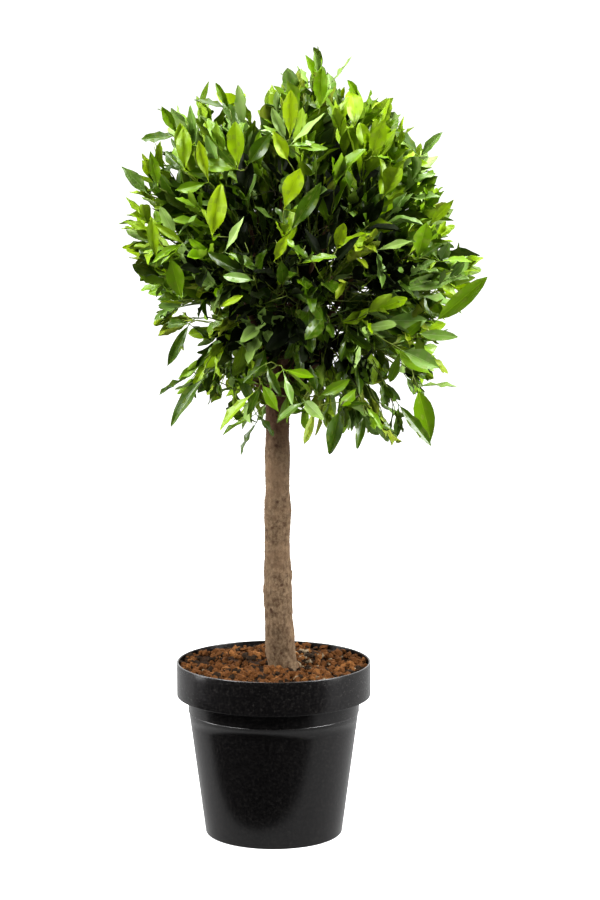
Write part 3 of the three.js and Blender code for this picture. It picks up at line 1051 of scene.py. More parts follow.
def bough_line(ring, number, name):
    """The spine of a bough, from inside the stem to the tip of the solid one."""
    solid = solid_points(name)
    share = ((number * 2) % ring["count"]) / ring["count"]
    height = ring["leaves"] + ring["stagger"] * share
    start = stem_middle(height)
    start[2] = height
    far = solid[np.argmax(np.linalg.norm(solid - start, axis=1))]
    tip = solid[np.linalg.norm(solid - far, axis=1) < 2.5 * BOUGH["tip"]].mean(0)
    way = tip - start
    bend = start + way * np.array([ring["bend"][0]] * 2 + [ring["bend"][1]])
    t = np.linspace(0, 1, BOUGH["steps"])[:, None]
    return (1 - t) ** 2 * start + 2 * t * (1 - t) * bend + t**2 * tip


bough_bark = bark_material(
    "red_brown_bark", linear(70, 48, 32), linear(118, 88, 62),
    linear(124, 84, 60), linear(78, 50, 32), 260.0,
)
bough_lines = {}
for ring_name, ring in RINGS.items():
    for number in range(ring["count"]):
        name = f"{ring_name}_{number + 1}"
        spine = bough_line(ring, number, "bough_" + name)
        t = np.linspace(0, 1, BOUGH["steps"])
        radii = ring["radius"] + (BOUGH["tip"] - ring["radius"]) * np.sqrt(t)
        run = np.linalg.norm(spine - spine[0], axis=1)
        outside = np.maximum(0, run - stem_radius(spine[0, 2]))
        radii = radii * (1 + BOUGH["collar"] * np.exp(-outside / BOUGH["collar_fade"]))
        points, faces = swept(spine, radii, BOUGH["sides"], bough_relief)
        bough, _ = new_piece("bough_with_bark_" + name, points, faces, [bough_bark])
        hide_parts("bough_" + name)
        bough_lines[name] = spine

leader_tip = ring_heights[-1]
leader_heights = np.linspace(
    leader_tip - LEADER["length"], leader_tip - LEADER["short_of_tip"], LEADER["steps"]
)
leader_spine = np.array([stem_middle(h) for h in leader_heights])
leader_spine[:, 2] = leader_heights
bough_lines["top"] = leader_spine
print("limbs that carry masses:", sorted(bough_lines))

# %% [markdown]
# ## What marks out this tree
#
# Every tree has features that a rule alone would not give: where its outline stands out or
# draws in, the larger gaps where the sky shows, the large dark hollows between the limbs,
# and a few leaves that catch the eye. They are named here as places on an upright plane
# through the stem, in millimetres. Smaller gaps and hollows are scattered by a rule, and
# each named leaf gets a twig of its own, grown by the same rule as all the others.

# %% Outline
head_middle = np.array([0.038, 0.0, 0.955])
OUTLINE_REACH = 0.25  # from the head's middle to its outline, where nothing changes it
# Direction in degrees from the right, upwards; rise; and half its width in degrees
OUTLINE_SWELLS = [
    (20, -0.017, 17), (66, 0.016, 9), (84, 0.036, 6), (100, -0.012, 6), (128, 0.026, 24),
    (157, 0.012, 9), (197, -0.034, 17), (229, 0.014, 8), (258, 0.012, 12),
    (303, 0.062, 16), (337, -0.016, 8), (354, 0.024, 8),
]
# Sprays stand out in tufts all round, each at a random place in its own share of the turn
TUFTS = {"seed": 8, "count": 30, "rise": (0.004, 0.046), "half_width": 3.4}
draw = np.random.default_rng(TUFTS["seed"])
tuft_turns = np.arange(TUFTS["count"]) + draw.uniform(-0.3, 0.3, TUFTS["count"])
tuft_turns = tuft_turns * (360 / TUFTS["count"])
tuft_rises = draw.uniform(*TUFTS["rise"], TUFTS["count"])
tufts = [(turn, rise, TUFTS["half_width"]) for turn, rise in zip(tuft_turns, tuft_rises)]


def outline_reach(turn):
    """How far the outline lies from the head's middle, for directions in degrees."""
    reach = np.full_like(turn, OUTLINE_REACH)
    for middle, rise, half_width in OUTLINE_SWELLS + tufts:
        off = (turn - middle + 180) % 360 - 180
        reach = reach + rise * np.exp(-((off / half_width) ** 2))
    return reach


round_the_head = outline_reach(np.arange(0.0, 360.0, 5.0))
print("outline from", round_the_head.min().round(3), "to", round_the_head.max().round(3))

# %% Gaps and hollows
# The larger gaps through the head, and hollows in its front: sideways, height, radius
SKY_GAPS = [
    (-28, 1180, 8), (-160, 1085, 10), (-172, 990, 13), (-112, 853, 14), (-78, 875, 7),
    (-35, 852, 8), (-135, 810, 8), (-112, 805, 7), (-55, 802, 8), (-140, 785, 12),
    (148, 895, 8), (104, 832, 8), (188, 835, 7), (102, 793, 8), (195, 790, 10),
    (252, 898, 8), (208, 740, 13), (165, 735, 8),
]
HOLLOWS = [
    (-15, 1058, 20), (-2, 1112, 13), (-62, 1005, 10), (-30, 985, 13), (70, 995, 19),
    (88, 1142, 11), (95, 1045, 11), (155, 1070, 9), (170, 1015, 9), (0, 945, 12),
    (60, 930, 12), (112, 890, 12), (5, 895, 14), (40, 875, 13), (175, 800, 9),
]
HOLLOW_DEPTH = -0.05  # what lies further back than this may show in a hollow
# The smaller ones: how many, between which corners, and between which radii
SMALL_GAPS = {
    "seed": 12, "count": 18, "low": (-150, 690), "high": (230, 890), "radii": (4, 8)
}
SMALL_HOLLOWS = {
    "seed": 13, "count": 22, "low": (-90, 800), "high": (190, 1080), "radii": (5, 9)
}
# What keeps out of a circle stays this much further off: leaves, shoots before a hollow
# and shoots before a gap
CLEAR_OF_CIRCLE = {"leaf": 0.003, "hollow_shoot": 0.003, "gap_shoot": 0.004}


def scattered_circles(places):
    """Random circles on the upright plane, in millimetres."""
    draw = np.random.default_rng(places["seed"])
    middles = draw.uniform(places["low"], places["high"], (places["count"], 2))
    return np.column_stack([middles, draw.uniform(*places["radii"], places["count"])])


sky_gaps = np.concatenate([SKY_GAPS, scattered_circles(SMALL_GAPS)])
hollows = np.concatenate([HOLLOWS, scattered_circles(SMALL_HOLLOWS)])
print(len(sky_gaps), "gaps and", len(hollows), "hollows")

# %% Leaves that catch the eye
# Half the size of the head's front face, each way
FRONT = {"sideways": 0.285, "upright": 0.300, "depth": 0.262}
LISTED = {
    "depth": 0.94,  # share of the front's depth at which the listed leaves start
    "stray": 0.006,
    "spire": ([1.14, 1.22], [1, 0.3]),  # what is left of that depth, by height
    "length": (0.044, 0.058),  # at least: what the front view doesn't show points forwards
    "tipped": 0.8,  # share of it that does
    "forward": 0.006,
    "stalk": 0.004,
}
# By kind: foot and tip, each as sideways and height, and the width that shows
LEAVES_IN_VIEW = {
    "lime": [
        (28, 1150, 30, 1222, 24), (25, 1115, 0, 1160, 22), (-98, 1085, -115, 1145, 18),
        (-90, 1003, -80, 1080, 34), (20, 1045, 42, 1105, 30), (5, 965, 22, 1000, 18),
        (100, 985, 108, 1025, 24), (-78, 892, -45, 912, 12),
    ],
    "fresh": [
        (-52, 1105, -55, 1175, 28), (-135, 1100, -135, 1165, 24), (155, 1125, 170, 1178, 26),
        (-140, 990, -180, 1020, 15), (-180, 965, -190, 1025, 22), (245, 1015, 278, 1055, 14),
        (-32, 752, -90, 702, 14),
    ],
    "mid": [
        (258, 865, 338, 932, 34), (235, 738, 262, 655, 38), (75, 1195, 78, 1258, 26),
        (65, 1240, 52, 1278, 10), (-70, 1195, -90, 1232, 14), (-152, 1155, -175, 1200, 18),
        (-178, 1075, -190, 1128, 20), (-140, 905, -160, 965, 28), (225, 965, 238, 1020, 28),
        (135, 1210, 120, 1237, 14), (75, 750, 120, 775, 18), (-30, 712, -82, 685, 8),
        (-15, 768, 10, 728, 18),
    ],
    "deep": [
        (-35, 1110, -2, 1160, 24), (30, 1010, 78, 1082, 22), (105, 722, 92, 652, 28),
        (145, 710, 132, 665, 16), (-130, 860, -165, 797, 20), (205, 715, 258, 650, 20),
        (-108, 775, -165, 700, 18), (-28, 695, -62, 650, 8), (-132, 775, -178, 750, 8),
        (-8, 800, 14, 752, 16), (-20, 762, -38, 716, 14),
    ],
    "olive": [(65, 720, 52, 675, 16)],
    "dark": [],
    # Leaves pale with painted sheen, partly their own bluish tone
    "bluish_with_painted_sheen": [
        (-198, 1062, -235, 1105, 20), (205, 818, 262, 795, 28), (230, 845, 290, 842, 22),
        (232, 1120, 262, 1157, 14), (-30, 935, -72, 945, 20), (262, 960, 275, 990, 18),
        (48, 736, 8, 716, 12), (18, 790, 28, 735, 10),
    ],
    # Leaves that are painted sheen alone, the room's reflection in their gloss
    "painted_sheen": [
        (20, 1148, 0, 1195, 20), (30, 1140, 80, 1188, 10), (-70, 980, -38, 1030, 12),
        (-150, 1000, -170, 1045, 22), (165, 980, 215, 992, 12), (72, 1250, 68, 1282, 12),
        (92, 1232, 130, 1272, 7), (58, 1228, 30, 1258, 8), (235, 752, 295, 757, 6),
        (50, 742, 80, 716, 22),
    ],
}


def seen_from_front(points):
    """Where points lie on the upright plane through the stem, in the camera's line of sight."""
    eye = np.array([CAMERA["x"], -CAMERA["distance"], CAMERA["height"]])
    share = eye[1] / (eye[1] - points[..., 1:2])
    return (eye + (points - eye) * share)[..., [0, 2]]


def in_circles(places, circles, margin):
    """Which places on the upright plane lie in any of the circles."""
    circles = circles / 1000
    apart = np.linalg.norm(places[..., None, :] - circles[:, :2], axis=-1)
    return (apart < circles[:, 2] + margin).any(-1)


def outline_room(points):
    """How far points lie from the head's middle in the front view, and how far they may."""
    off = seen_from_front(points) - head_middle[[0, 2]]
    turn = np.degrees(np.arctan2(off[..., 1], off[..., 0]))
    return np.linalg.norm(off, axis=-1), outline_reach(turn)


def front_depth(sideways, height):
    """The place along Y of the head's front face."""
    out = ((sideways - head_middle[0]) / FRONT["sideways"]) ** 2
    out = out + ((height - head_middle[2]) / FRONT["upright"]) ** 2
    return -FRONT["depth"] * np.sqrt(np.maximum(0, 1 - out))

# %% [markdown]
# ## Where the shoots end
#
# Clipping leaves the shoots ending near one surface, the outside of the solid masses, so
# shoot tips are scattered over it, none too close to another. A second, sparser layer
# ends deeper in, where light still comes. Shoots point outwards and up; near the bottom
# of the head they hang outwards instead.

# %% Shoot tips
# By height in the head, from 0 at its bottom to 1 at its top: how steeply shoots rise
RISE = ([0, 0.25, 0.5, 1], [-0.25, 0.12, 0.45, 0.8])
# The outer and the inner layer: places tried, the space between tips, that space low in the
# head and up to where, the least depth of a tip below the outside of its mass, how much
# further back many tips are, and the length beside that of an outer shoot
LAYERS = {
    "outer": {"tries": 14000, "spacing": 0.043, "low_spacing": 0.050, "low": 0.35,
              "inset": 0.046, "ragged": 0.014, "vigour": 1.0},
    "inner": {"tries": 5000, "spacing": 0.046, "low_spacing": 0.0598, "low": 0.3,
              "inset": 0.085, "ragged": 0.02, "vigour": 0.8},
}
SHOOTS = {
    "seed": 29,
    "low_inset": 0.55,  # the share of the inset that is left at the bottom of the head
    "proud": (0.1, 0.02),  # share of shoots that stand out, and by how much
    "length": (0.075, 0.135),
    "near_edge": 0.74,  # shoots that show beyond this share of the outline are drawn out
    "drawn_out": 1.16,  # as far as the outline lets them, by this factor at most
    "edge": 0.024,  # from the head's outline to a shoot's tip
}
rng = np.random.default_rng(SHOOTS["seed"])
mass_names = sorted(n for n in frame["nodes"] if n.startswith("leaves_"))
mass_boxes = [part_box(n) for n in mass_names]
head_low = np.min([low for low, high in mass_boxes], axis=0)
head_high = np.max([high for low, high in mass_boxes], axis=0)


def outer_places(count):
    """Random places on the outside of all masses: (places, normals, mass numbers)."""
    corners, owners = [], []
    for number, name in enumerate(mass_names):
        mesh = frame["nodes"][name].data
        mesh.calc_loop_triangles()
        triangles = np.array([t.vertices for t in mesh.loop_triangles])
        corners.append(solid_points(name)[triangles])
        owners.append(np.full(len(triangles), number))
    corners, owners = np.concatenate(corners), np.concatenate(owners)
    normal = np.cross(corners[:, 1] - corners[:, 0], corners[:, 2] - corners[:, 0])
    area = np.linalg.norm(normal, axis=1)
    normal = unit(normal)
    outward = unit(corners.mean(1) - head_middle)
    outer = (normal * outward).sum(1) > 0.3
    chosen = rng.choice(len(area), count, p=np.where(outer, area, 0) / area[outer].sum())
    a, b = rng.random((2, count, 1))
    flip = a + b > 1
    a, b = np.where(flip, 1 - a, a), np.where(flip, 1 - b, b)
    c = corners[chosen]
    places = c[:, 0] + a * (c[:, 1] - c[:, 0]) + b * (c[:, 2] - c[:, 0])
    return places, normal[chosen], owners[chosen]


def spread_out(places, spacing):
    """The indexes of places kept so that none is closer to another than its spacing."""
    kept = [0]
    for index, place in enumerate(places[1:], 1):
        apart = np.linalg.norm(places[kept] - place, axis=1)
        if apart.min() > spacing[index]:
            kept.append(index)
    return np.array(kept)


def depth_share(places):
    """0 at the bottom of the head and 1 at its top."""
    return (places[:, 2] - head_low[2]) / (head_high[2] - head_low[2])


def layer_of_shoots(name):
    """The shoots of one layer, ending under places on the masses, as a dict of arrays."""
    layer = LAYERS[name]
    places, normals, owners = outer_places(layer["tries"])
    low = depth_share(places) < layer["low"]
    kept = spread_out(places, np.where(low, layer["low_spacing"], layer["spacing"]))
    places, normals, owners = places[kept], normals[kept], owners[kept]
    count = len(places)
    outward = unit(0.7 * unit(places - head_middle) + 0.45 * normals)
    rise = np.interp(depth_share(places), *RISE)
    heading = unit(
        outward + np.array([0, 0, 1]) * rise[:, None] + rng.normal(0, 0.2, (count, 3))
    )
    near = np.interp(depth_share(places), [0.05, 0.3], [SHOOTS["low_inset"], 1])
    back = layer["inset"] * near
    back += np.minimum(rng.exponential(layer["ragged"], count), 3.5 * layer["ragged"])
    back -= np.where(rng.random(count) < SHOOTS["proud"][0], SHOOTS["proud"][1], 0)
    tips = places - heading * back[:, None]
    return {
        "tip": tips, "heading": heading, "owner": owners,
        "length": rng.uniform(*SHOOTS["length"], count) * layer["vigour"],
        "inner": np.full(count, name == "inner"),
    }


layers = [layer_of_shoots(name) for name in LAYERS]
shoots = {key: np.concatenate([layer[key] for layer in layers]) for key in layers[0]}
out, may = outline_room(shoots["tip"])
share = (may - SHOOTS["edge"]) / np.maximum(out, 1e-6)
at_edge = (out > SHOOTS["near_edge"] * may) & ~shoots["inner"]
share = np.minimum(share, np.where(at_edge, SHOOTS["drawn_out"], 1))
shoots["tip"] = head_middle + (shoots["tip"] - head_middle) * share[:, None]
seen = seen_from_front(shoots["tip"])
gone = in_circles(seen, sky_gaps, CLEAR_OF_CIRCLE["gap_shoot"])
before_hollow = in_circles(seen, hollows, CLEAR_OF_CIRCLE["hollow_shoot"])
gone |= before_hollow & (shoots["tip"][:, 1] < HOLLOW_DEPTH)
shoots = {key: value[~gone] for key, value in shoots.items()}
print(len(shoots["tip"]), "shoots,", int(shoots["inner"].sum()), "of them inner")

# %% [markdown]
# ## Twigs by a branching rule
#
# In each mass the twigs grow on from the bough one after another, the nearest shoot
# first. Each new twig leaves the tree built so far where that is cheapest: close by, not
# too far from the bough along the wood, and leaving forwards rather than back. A limb's
# thickness then follows from what it carries: the cube of its radius is the sum of the
# cubes of its branches'.

# %% Branching rule
TWIG = {
    "step": 0.014,  # between nodes
    "detour": 0.35,  # how much a long way along the wood counts
    "turning": 0.55,  # how much leaving backwards counts
    "tip": 0.00085,  # radius
    "power": 3.0,  # of the radius, which adds up where branches meet
    "wander": 0.0011,  # how far nodes stray
    "forward": (0.3, 0.35),  # share of a twig and of a shoot that keeps its first course
    "bud": (1.25, 0.7),  # the last two radii of a shoot, as shares
    "thickest": 1.15,  # beside the tip of a bough
}


def grow(tree, goal, arrive):
    """Grows one twig from the cheapest place on the tree to the goal. Returns its last node."""
    points = np.array(tree["points"])
    gap = goal - points
    distance = np.linalg.norm(gap, axis=1)
    forward = (gap * np.array(tree["heading"])).sum(1) / np.maximum(distance, 1e-6)
    cost = distance * (1 + TWIG["turning"] * (1 - forward))
    cost += TWIG["detour"] * np.array(tree["path"])
    root = int(np.argmin(cost))
    start, reach = points[root], distance[root]
    leave = unit(0.5 * tree["heading"][root] + unit(goal - start))
    bend = reach * TWIG["forward"][0]
    control = [start, start + leave * bend, goal - arrive * bend, goal]
    return grow_along(tree, root, control, reach)


def grow_along(tree, root, control, reach):
    """Adds the nodes of a cubic curve to the tree, from the node root on."""
    steps = max(2, int(round(reach / TWIG["step"])))
    a, b, c, d = control
    node = root
    for step in range(1, steps + 1):
        t = step / steps
        place = (
            (1 - t) ** 3 * a + 3 * t * (1 - t) ** 2 * b + 3 * t**2 * (1 - t) * c + t**3 * d
        )
        if step < steps:
            place = place + rng.normal(0, TWIG["wander"], 3)
        before = tree["points"][node]
        tree["points"].append(place)
        tree["heading"].append(unit(place - before))
        tree["path"].append(tree["path"][node] + float(np.linalg.norm(place - before)))
        tree["parent"].append(node)
        node = len(tree["points"]) - 1
    return node


def grow_mass(name, members):
    """The twigs of one mass: (tree, the nodes along each leafy shoot)."""
    spine = bough_lines[name]
    half = spine[len(spine) // 2 :]
    tree = {
        "points": list(half),
        "heading": list(unit(np.gradient(half, axis=0))),
        "path": [0.0] * len(half),
        "parent": [-1] * len(half),
    }
    tip = half[-1]
    focus = tip - np.array([0, 0, 0.03])
    reach = shoots["length"][members]
    from_focus = unit(shoots["tip"][members] - focus)
    arrive = unit(0.75 * from_focus + 0.45 * shoots["heading"][members])
    base = shoots["tip"][members] - unit(arrive + shoots["heading"][members]) * reach[:, None]
    leafy = {}
    for index in np.argsort(np.linalg.norm(base - tip, axis=1)):
        member = members[index]
        node = grow(tree, base[index], arrive[index])
        first = len(tree["points"])
        bend = reach[index] * TWIG["forward"][1]
        control = [
            base[index],
            base[index] + arrive[index] * bend,
            shoots["tip"][member] - shoots["heading"][member] * bend,
            shoots["tip"][member],
        ]
        grow_along(tree, node, control, reach[index])
        leafy[int(member)] = [node, *range(first, len(tree["points"]))]
    return tree, leafy


def thicknesses(tree):
    """The radius at each node, worked out from the tips back."""
    count = len(tree["points"])
    load = np.zeros(count)
    for node in range(count - 1, -1, -1):
        load[node] = max(load[node], TWIG["tip"] ** TWIG["power"])
        parent = tree["parent"][node]
        if parent >= 0:
            load[parent] += load[node]
    radius = load ** (1 / TWIG["power"])
    return np.minimum(radius, BOUGH["tip"] * TWIG["thickest"])


trees, leafy_shoots = {}, {}
for number, node_name in enumerate(mass_names):
    name = node_name.removeprefix("leaves_")
    members = np.flatnonzero(shoots["owner"] == number)
    trees[name], leafy = grow_mass(name, members)
    leafy_shoots.update(leafy)
mass_middles = np.array([(np.array(low) + np.array(high)) / 2 for low, high in mass_boxes])


def leaves_in_view():
    """The listed leaves: foot, tip, visible width, kind and mass, and a twig for each."""
    rows = [
        (*row, number) for number, kind in enumerate(LEAVES_IN_VIEW)
        for row in LEAVES_IN_VIEW[kind]
    ]
    rows = np.array(rows, float)
    foot_x, foot_z, tip_x, tip_z, width = rows[:, :5].T / 1000
    depth = LISTED["depth"] * front_depth(foot_x, foot_z)
    depth += rng.normal(0, LISTED["stray"], len(rows))
    depth *= np.interp(foot_z, *LISTED["spire"])
    foot = np.stack([foot_x, depth, foot_z], axis=1)
    flat = np.hypot(tip_x - foot_x, tip_z - foot_z)
    least = rng.uniform(*LISTED["length"], len(rows))
    missing = np.sqrt(np.maximum(0, least**2 - flat**2))
    forward = LISTED["forward"] + missing * LISTED["tipped"]
    tip = np.stack([tip_x, depth - forward, tip_z], axis=1)
    apart = np.linalg.norm(foot[:, None] - mass_middles, axis=-1)
    owner = apart.argmin(1)
    for index in np.argsort(np.linalg.norm(foot - head_middle, axis=1)):
        name = mass_names[owner[index]].removeprefix("leaves_")
        heading = unit(tip[index] - foot[index])
        outward = unit(foot[index] - head_middle)
        goal = foot[index] - LISTED["stalk"] * heading
        grow(trees[name], goal, unit(0.3 * heading + 0.9 * outward))
    return foot, tip, width, rows[:, 5].astype(int), owner


eye_catching = leaves_in_view()
print("twig nodes:", sum(len(tree["points"]) for tree in trees.values()))

# %% Twig pieces
TWIG_SIDES = {"thick": 7, "thin": 5, "thick_from": 0.0018}
# Each bark: the radius from which a twig has it, its colour and its roughness
TWIG_BARKS = {
    "green_twig": (0.0, (88, 102, 20), 0.5),
    "olive_twig": (0.00125, (54, 52, 17), 0.6),
    "brown_twig": (0.0019, (44, 30, 18), 0.75),
}


def twig_material(name, colour, roughness):
    """Young bark: smooth, with a gloss that varies along it."""
    material, nodes, links, shader = new_material(name)
    shader.inputs["Base Color"].default_value = colour
    grain = placed(nodes, links, GRAIN, Scale=300.0, Drawn_Out=4.0)
    rough = value_range(
        nodes, links, grain["Coarse"], 0.3, 0.7, roughness - 0.08, roughness + 0.1
    )
    links.new(rough, shader.inputs["Roughness"])
    return material


twig_materials = [
    twig_material(name, linear(*colour), roughness)
    for name, (_, colour, roughness) in TWIG_BARKS.items()
]
bark_from = [thick for thick, _, _ in TWIG_BARKS.values()]


def chains(tree, radius):
    """Cuts the tree into runs of nodes, each following the thickest branch."""
    children = {}
    for node, parent in enumerate(tree["parent"]):
        if parent >= 0:
            children.setdefault(parent, []).append(node)
    heads = []
    for parent, below in children.items():
        below.sort(key=lambda node: -radius[node])
        own = tree["parent"][parent] == -1
        heads += [(parent, node) for node in (below if own else below[1:])]
    runs = []
    for parent, node in heads:
        run = [parent, node]
        while run[-1] in children:
            run.append(children[run[-1]][0])
        runs.append(run)
    return runs


def twig_piece(name, tree):
    """All twigs of one mass as one mesh."""
    radius = thicknesses(tree)
    points = np.array(tree["points"])
    all_points, quads, ends, quad_slots, end_slots, flat = [], [], [], [], [], []
    first = 0
    runs = chains(tree, radius)
    for number, run in enumerate(runs):
        radii = radius[run].copy()
        radii[0] = min(radii[0], radii[1] * 1.15)
        if len(run) > 3:
            radii[-2:] *= TWIG["bud"]
        sides = TWIG_SIDES["thick" if radii[0] > TWIG_SIDES["thick_from"] else "thin"]
        tube, (faces, caps) = swept(points[run], radii, sides)
        all_points.append(tube)
        quads.append(faces + first)
        ends.append(caps + first)
        age = np.searchsorted(bark_from, radii[:-1], "right") - 1
        quad_slots.append(np.repeat(age, sides))
        end_slots.append(np.repeat([age[0], age[-1]], sides))
        across = (number + 0.1 + 0.8 * np.arange(sides) / sides) / len(runs)
        down = np.linspace(0.01, 0.99, len(run))
        grid = np.stack(np.broadcast_arrays(across[None, :], down[:, None]), axis=-1)
        middle = (number + 0.5) / len(runs)
        flat.append(np.concatenate([grid.reshape(-1, 2), [[middle, 0], [middle, 1]]]))
        first += len(tube)
    return new_piece(
        "twigs_" + name,
        np.concatenate(all_points),
        [np.concatenate(quads), np.concatenate(ends)],
        twig_materials,
        [np.concatenate(quad_slots), np.concatenate(end_slots)],
        np.concatenate(flat),
    )


twig_triangles = 0
for name, tree in trees.items():
    twigs, made = twig_piece(name, tree)
    twig_triangles += made
    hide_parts("leaves_" + name)
print("twig triangles:", twig_triangles)

# %% [markdown]
# ## Leaves
#
# A bay leaf is a stiff pointed ellipse, a third as wide as it is long, with a pale rib, a
# wavy edge and a short stalk. Each leaf is a closed thin body: an upper sheet in six
# columns, two of them the sides of the rib, and a paler, matt under sheet in five. Leaves
# climb the shoot in a spiral, a golden angle apart, and turn their upper sides to the
# light. All leaves are shaped together as one array.

# %% Leaf shape
LEAF = {
    "spacing": 0.0112,  # along the shoot
    "inner_spacing": 1.35,  # the same deep in the head, beside that
    "length": 0.065,
    "spread": 0.012,  # of lengths
    "lengths": (0.036, 0.094),
    "least": 0.03,  # a leaf cut shorter than this is left out
    "ragged": 0.15,  # unevenness of the edge
    "waves": (1.4, 3.2),  # along the edge
    "quilt": 0.0008,  # how far the blade bulges between its side veins
    "slimness": (0.25, 0.40),  # width as a share of length
    "rib": 0.00065,  # half its width at the foot
    "thick": 0.00045,
    "stalk": 0.006,
    "stalk_radius": 0.0008,
    "stalk_overlap": 0.004,  # how far the stalk goes on under the blade
}
# The leaf's outline: share of its length, and share of its greatest half width for a
# pointed and for a blunt leaf
OUTLINE = np.array(
    [(0.0, 0.0, 0.0), (0.06, 0.18, 0.12), (0.16, 0.48, 0.36), (0.29, 0.80, 0.68),
     (0.43, 0.98, 0.91), (0.58, 0.98, 1.0), (0.72, 0.80, 0.96), (0.85, 0.50, 0.78),
     (0.95, 0.19, 0.42), (1.0, 0.0, 0.0)]
)
GOLDEN_ANGLE = math.pi * (3 - 5**0.5)


def leaf_rows(leaves, columns, under):
    """Points of the inner stations of every leaf, one row of columns per station."""
    own = {key: value[:, None, None] for key, value in leaves.items()}
    t = OUTLINE[1:-1, 0][None, :, None]
    blunt = own["blunt"]
    shape = OUTLINE[None, 1:-1, 1:2] * (1 - blunt) + OUTLINE[None, 1:-1, 2:3] * blunt
    half = own["width"] / 2 * shape
    ragged = np.sin(own["phase"] * 7 + 40 * t + np.sign(columns) * 9)
    half = half * (1 + LEAF["ragged"] * ragged)
    half = half * (1 + own["skew"] * (0.5 - t))
    aside = columns * half
    if not under:
        rib = LEAF["rib"] * (1 - 0.6 * t)
        inner = np.abs(columns) < 0.2
        aside = np.where(inner, np.sign(columns) * np.minimum(rib, 0.4 * half), aside)
    across = aside / np.maximum(half, 1e-6)
    lift = np.abs(aside) * own["fold"]
    phase = own["phase"] + (columns > 0) * 1.9
    wave = np.sin(2 * np.pi * own["waves"] * t + phase)
    lift = lift + own["wave"] * wave * across**2 * np.sin(np.pi * t)
    quilt = np.where(np.abs(np.abs(across) - 0.5) < 0.2, 1, 0)
    pleat = np.where(np.arange(t.shape[1])[None, :, None] % 2, 1, -1)
    lift = lift + LEAF["quilt"] * quilt * pleat
    if under:
        lift = lift - LEAF["thick"] * (1 - across**2)
    twist = own["twist"] * (t - 0.2)
    aside, lift = (
        aside * np.cos(twist) - lift * np.sin(twist),
        aside * np.sin(twist) + lift * np.cos(twist),
    )
    return leaf_frame(leaves, np.broadcast_to(t, aside.shape), aside, lift)


def leaf_frame(leaves, t, aside, lift):
    """Places (along, aside, lift) on the arched middle line of every leaf."""
    reach, droop = leaves["length"][:, None, None], leaves["droop"][:, None, None]
    turn = droop * t
    forward = reach * np.sin(turn) / droop
    down = reach * (1 - np.cos(turn)) / droop
    forward = forward + lift * np.sin(turn)
    up = lift * np.cos(turn) - down
    sway = leaves["bow"][:, None, None] * t**2 * reach
    side = np.cross(leaves["normal"], leaves["axis"])
    return (
        leaves["base"][:, None, None]
        + leaves["axis"][:, None, None] * forward[..., None]
        + leaves["normal"][:, None, None] * up[..., None]
        + side[:, None, None] * (aside + sway)[..., None]
    )


def sheet_faces(columns, first, down):
    """The faces of one sheet: fans at its two ends and quads between. Down faces are turned."""
    rows = len(OUTLINE) - 2
    quads = grid_faces(rows, columns) + first + 1
    k = np.arange(columns - 1)
    start = np.stack([np.full_like(k, first), first + 2 + k, first + 1 + k], axis=1)
    end_row = first + 1 + (rows - 1) * columns
    tip = first + 1 + rows * columns
    end = np.stack([np.full_like(k, tip), end_row + k, end_row + 1 + k], axis=1)
    triangles = np.concatenate([start, end])
    if down:
        quads, triangles = quads[:, ::-1], triangles[:, ::-1]
    return quads, triangles


# Columns of the two sheets as shares of the half width, and the finish between each two:
# 0 for the blade, 1 for the rib and 2 for the underside
UPPER = np.array([-1, -0.52, -0.1, 0.1, 0.52, 1.0])
LOWER = np.array([-1, -0.5, 0, 0.5, 1.0])
UPPER_SLOTS = np.array([0, 0, 1, 0, 0])
LOWER_SLOTS = np.array([2, 2, 2, 2])


def leaf_mesh(leaves):
    """Points, faces and finishes of all leaves."""
    count = len(leaves["base"])
    middle = np.zeros((count, 1, 1))
    base = leaf_frame(leaves, middle, middle, middle)[:, 0]
    tip = leaf_frame(leaves, middle + 1, middle, middle)[:, 0]
    upper = leaf_rows(leaves, UPPER, False).reshape(count, -1, 3)
    lower = leaf_rows(leaves, LOWER, True).reshape(count, -1, 3)
    stalk = leaf_stalks(leaves)
    points = np.concatenate([base, upper, tip, base, lower, tip, stalk], axis=1)
    rows = len(OUTLINE) - 2
    upper_size = 2 + rows * len(UPPER)
    lower_size = 2 + rows * len(LOWER)
    quads_a, tris_a = sheet_faces(len(UPPER), 0, down=True)
    quads_b, tris_b = sheet_faces(len(LOWER), upper_size, down=False)
    k = np.arange(3)
    after = (k + 1) % 3
    first = upper_size + lower_size
    stalk_quads = np.stack([k, after, after + 3, k + 3], axis=1) + first
    stalk_tris = np.array([[0, 2, 1], [3, 4, 5]]) + first
    quads = np.concatenate([quads_a, quads_b, stalk_quads])
    tris = np.concatenate([tris_a, tris_b, stalk_tris])
    quad_slots = np.concatenate(
        [np.tile(UPPER_SLOTS, rows - 1), np.tile(LOWER_SLOTS, rows - 1), [1, 1, 1]]
    )
    tri_slots = np.concatenate([np.tile(UPPER_SLOTS, 2), np.tile(LOWER_SLOTS, 2), [1, 1]])
    offset = points.shape[1] * np.arange(count)[:, None, None]
    return points, quads + offset, tris + offset, quad_slots, tri_slots


def leaf_stalks(leaves):
    """A short three-sided stalk from the shoot to the foot of each blade."""
    side = np.cross(leaves["normal"], leaves["axis"])
    turn = 2 * np.pi * np.arange(3) / 3
    ring = (
        side[:, None] * np.cos(turn)[:, None] + leaves["normal"][:, None] * np.sin(turn)[:, None]
    ) * LEAF["stalk_radius"]
    foot = leaves["foot"][:, None] + ring
    top = leaves["base"][:, None] + leaves["axis"][:, None] * LEAF["stalk_overlap"] + ring * 0.8
    return np.concatenate([foot, top], axis=1)


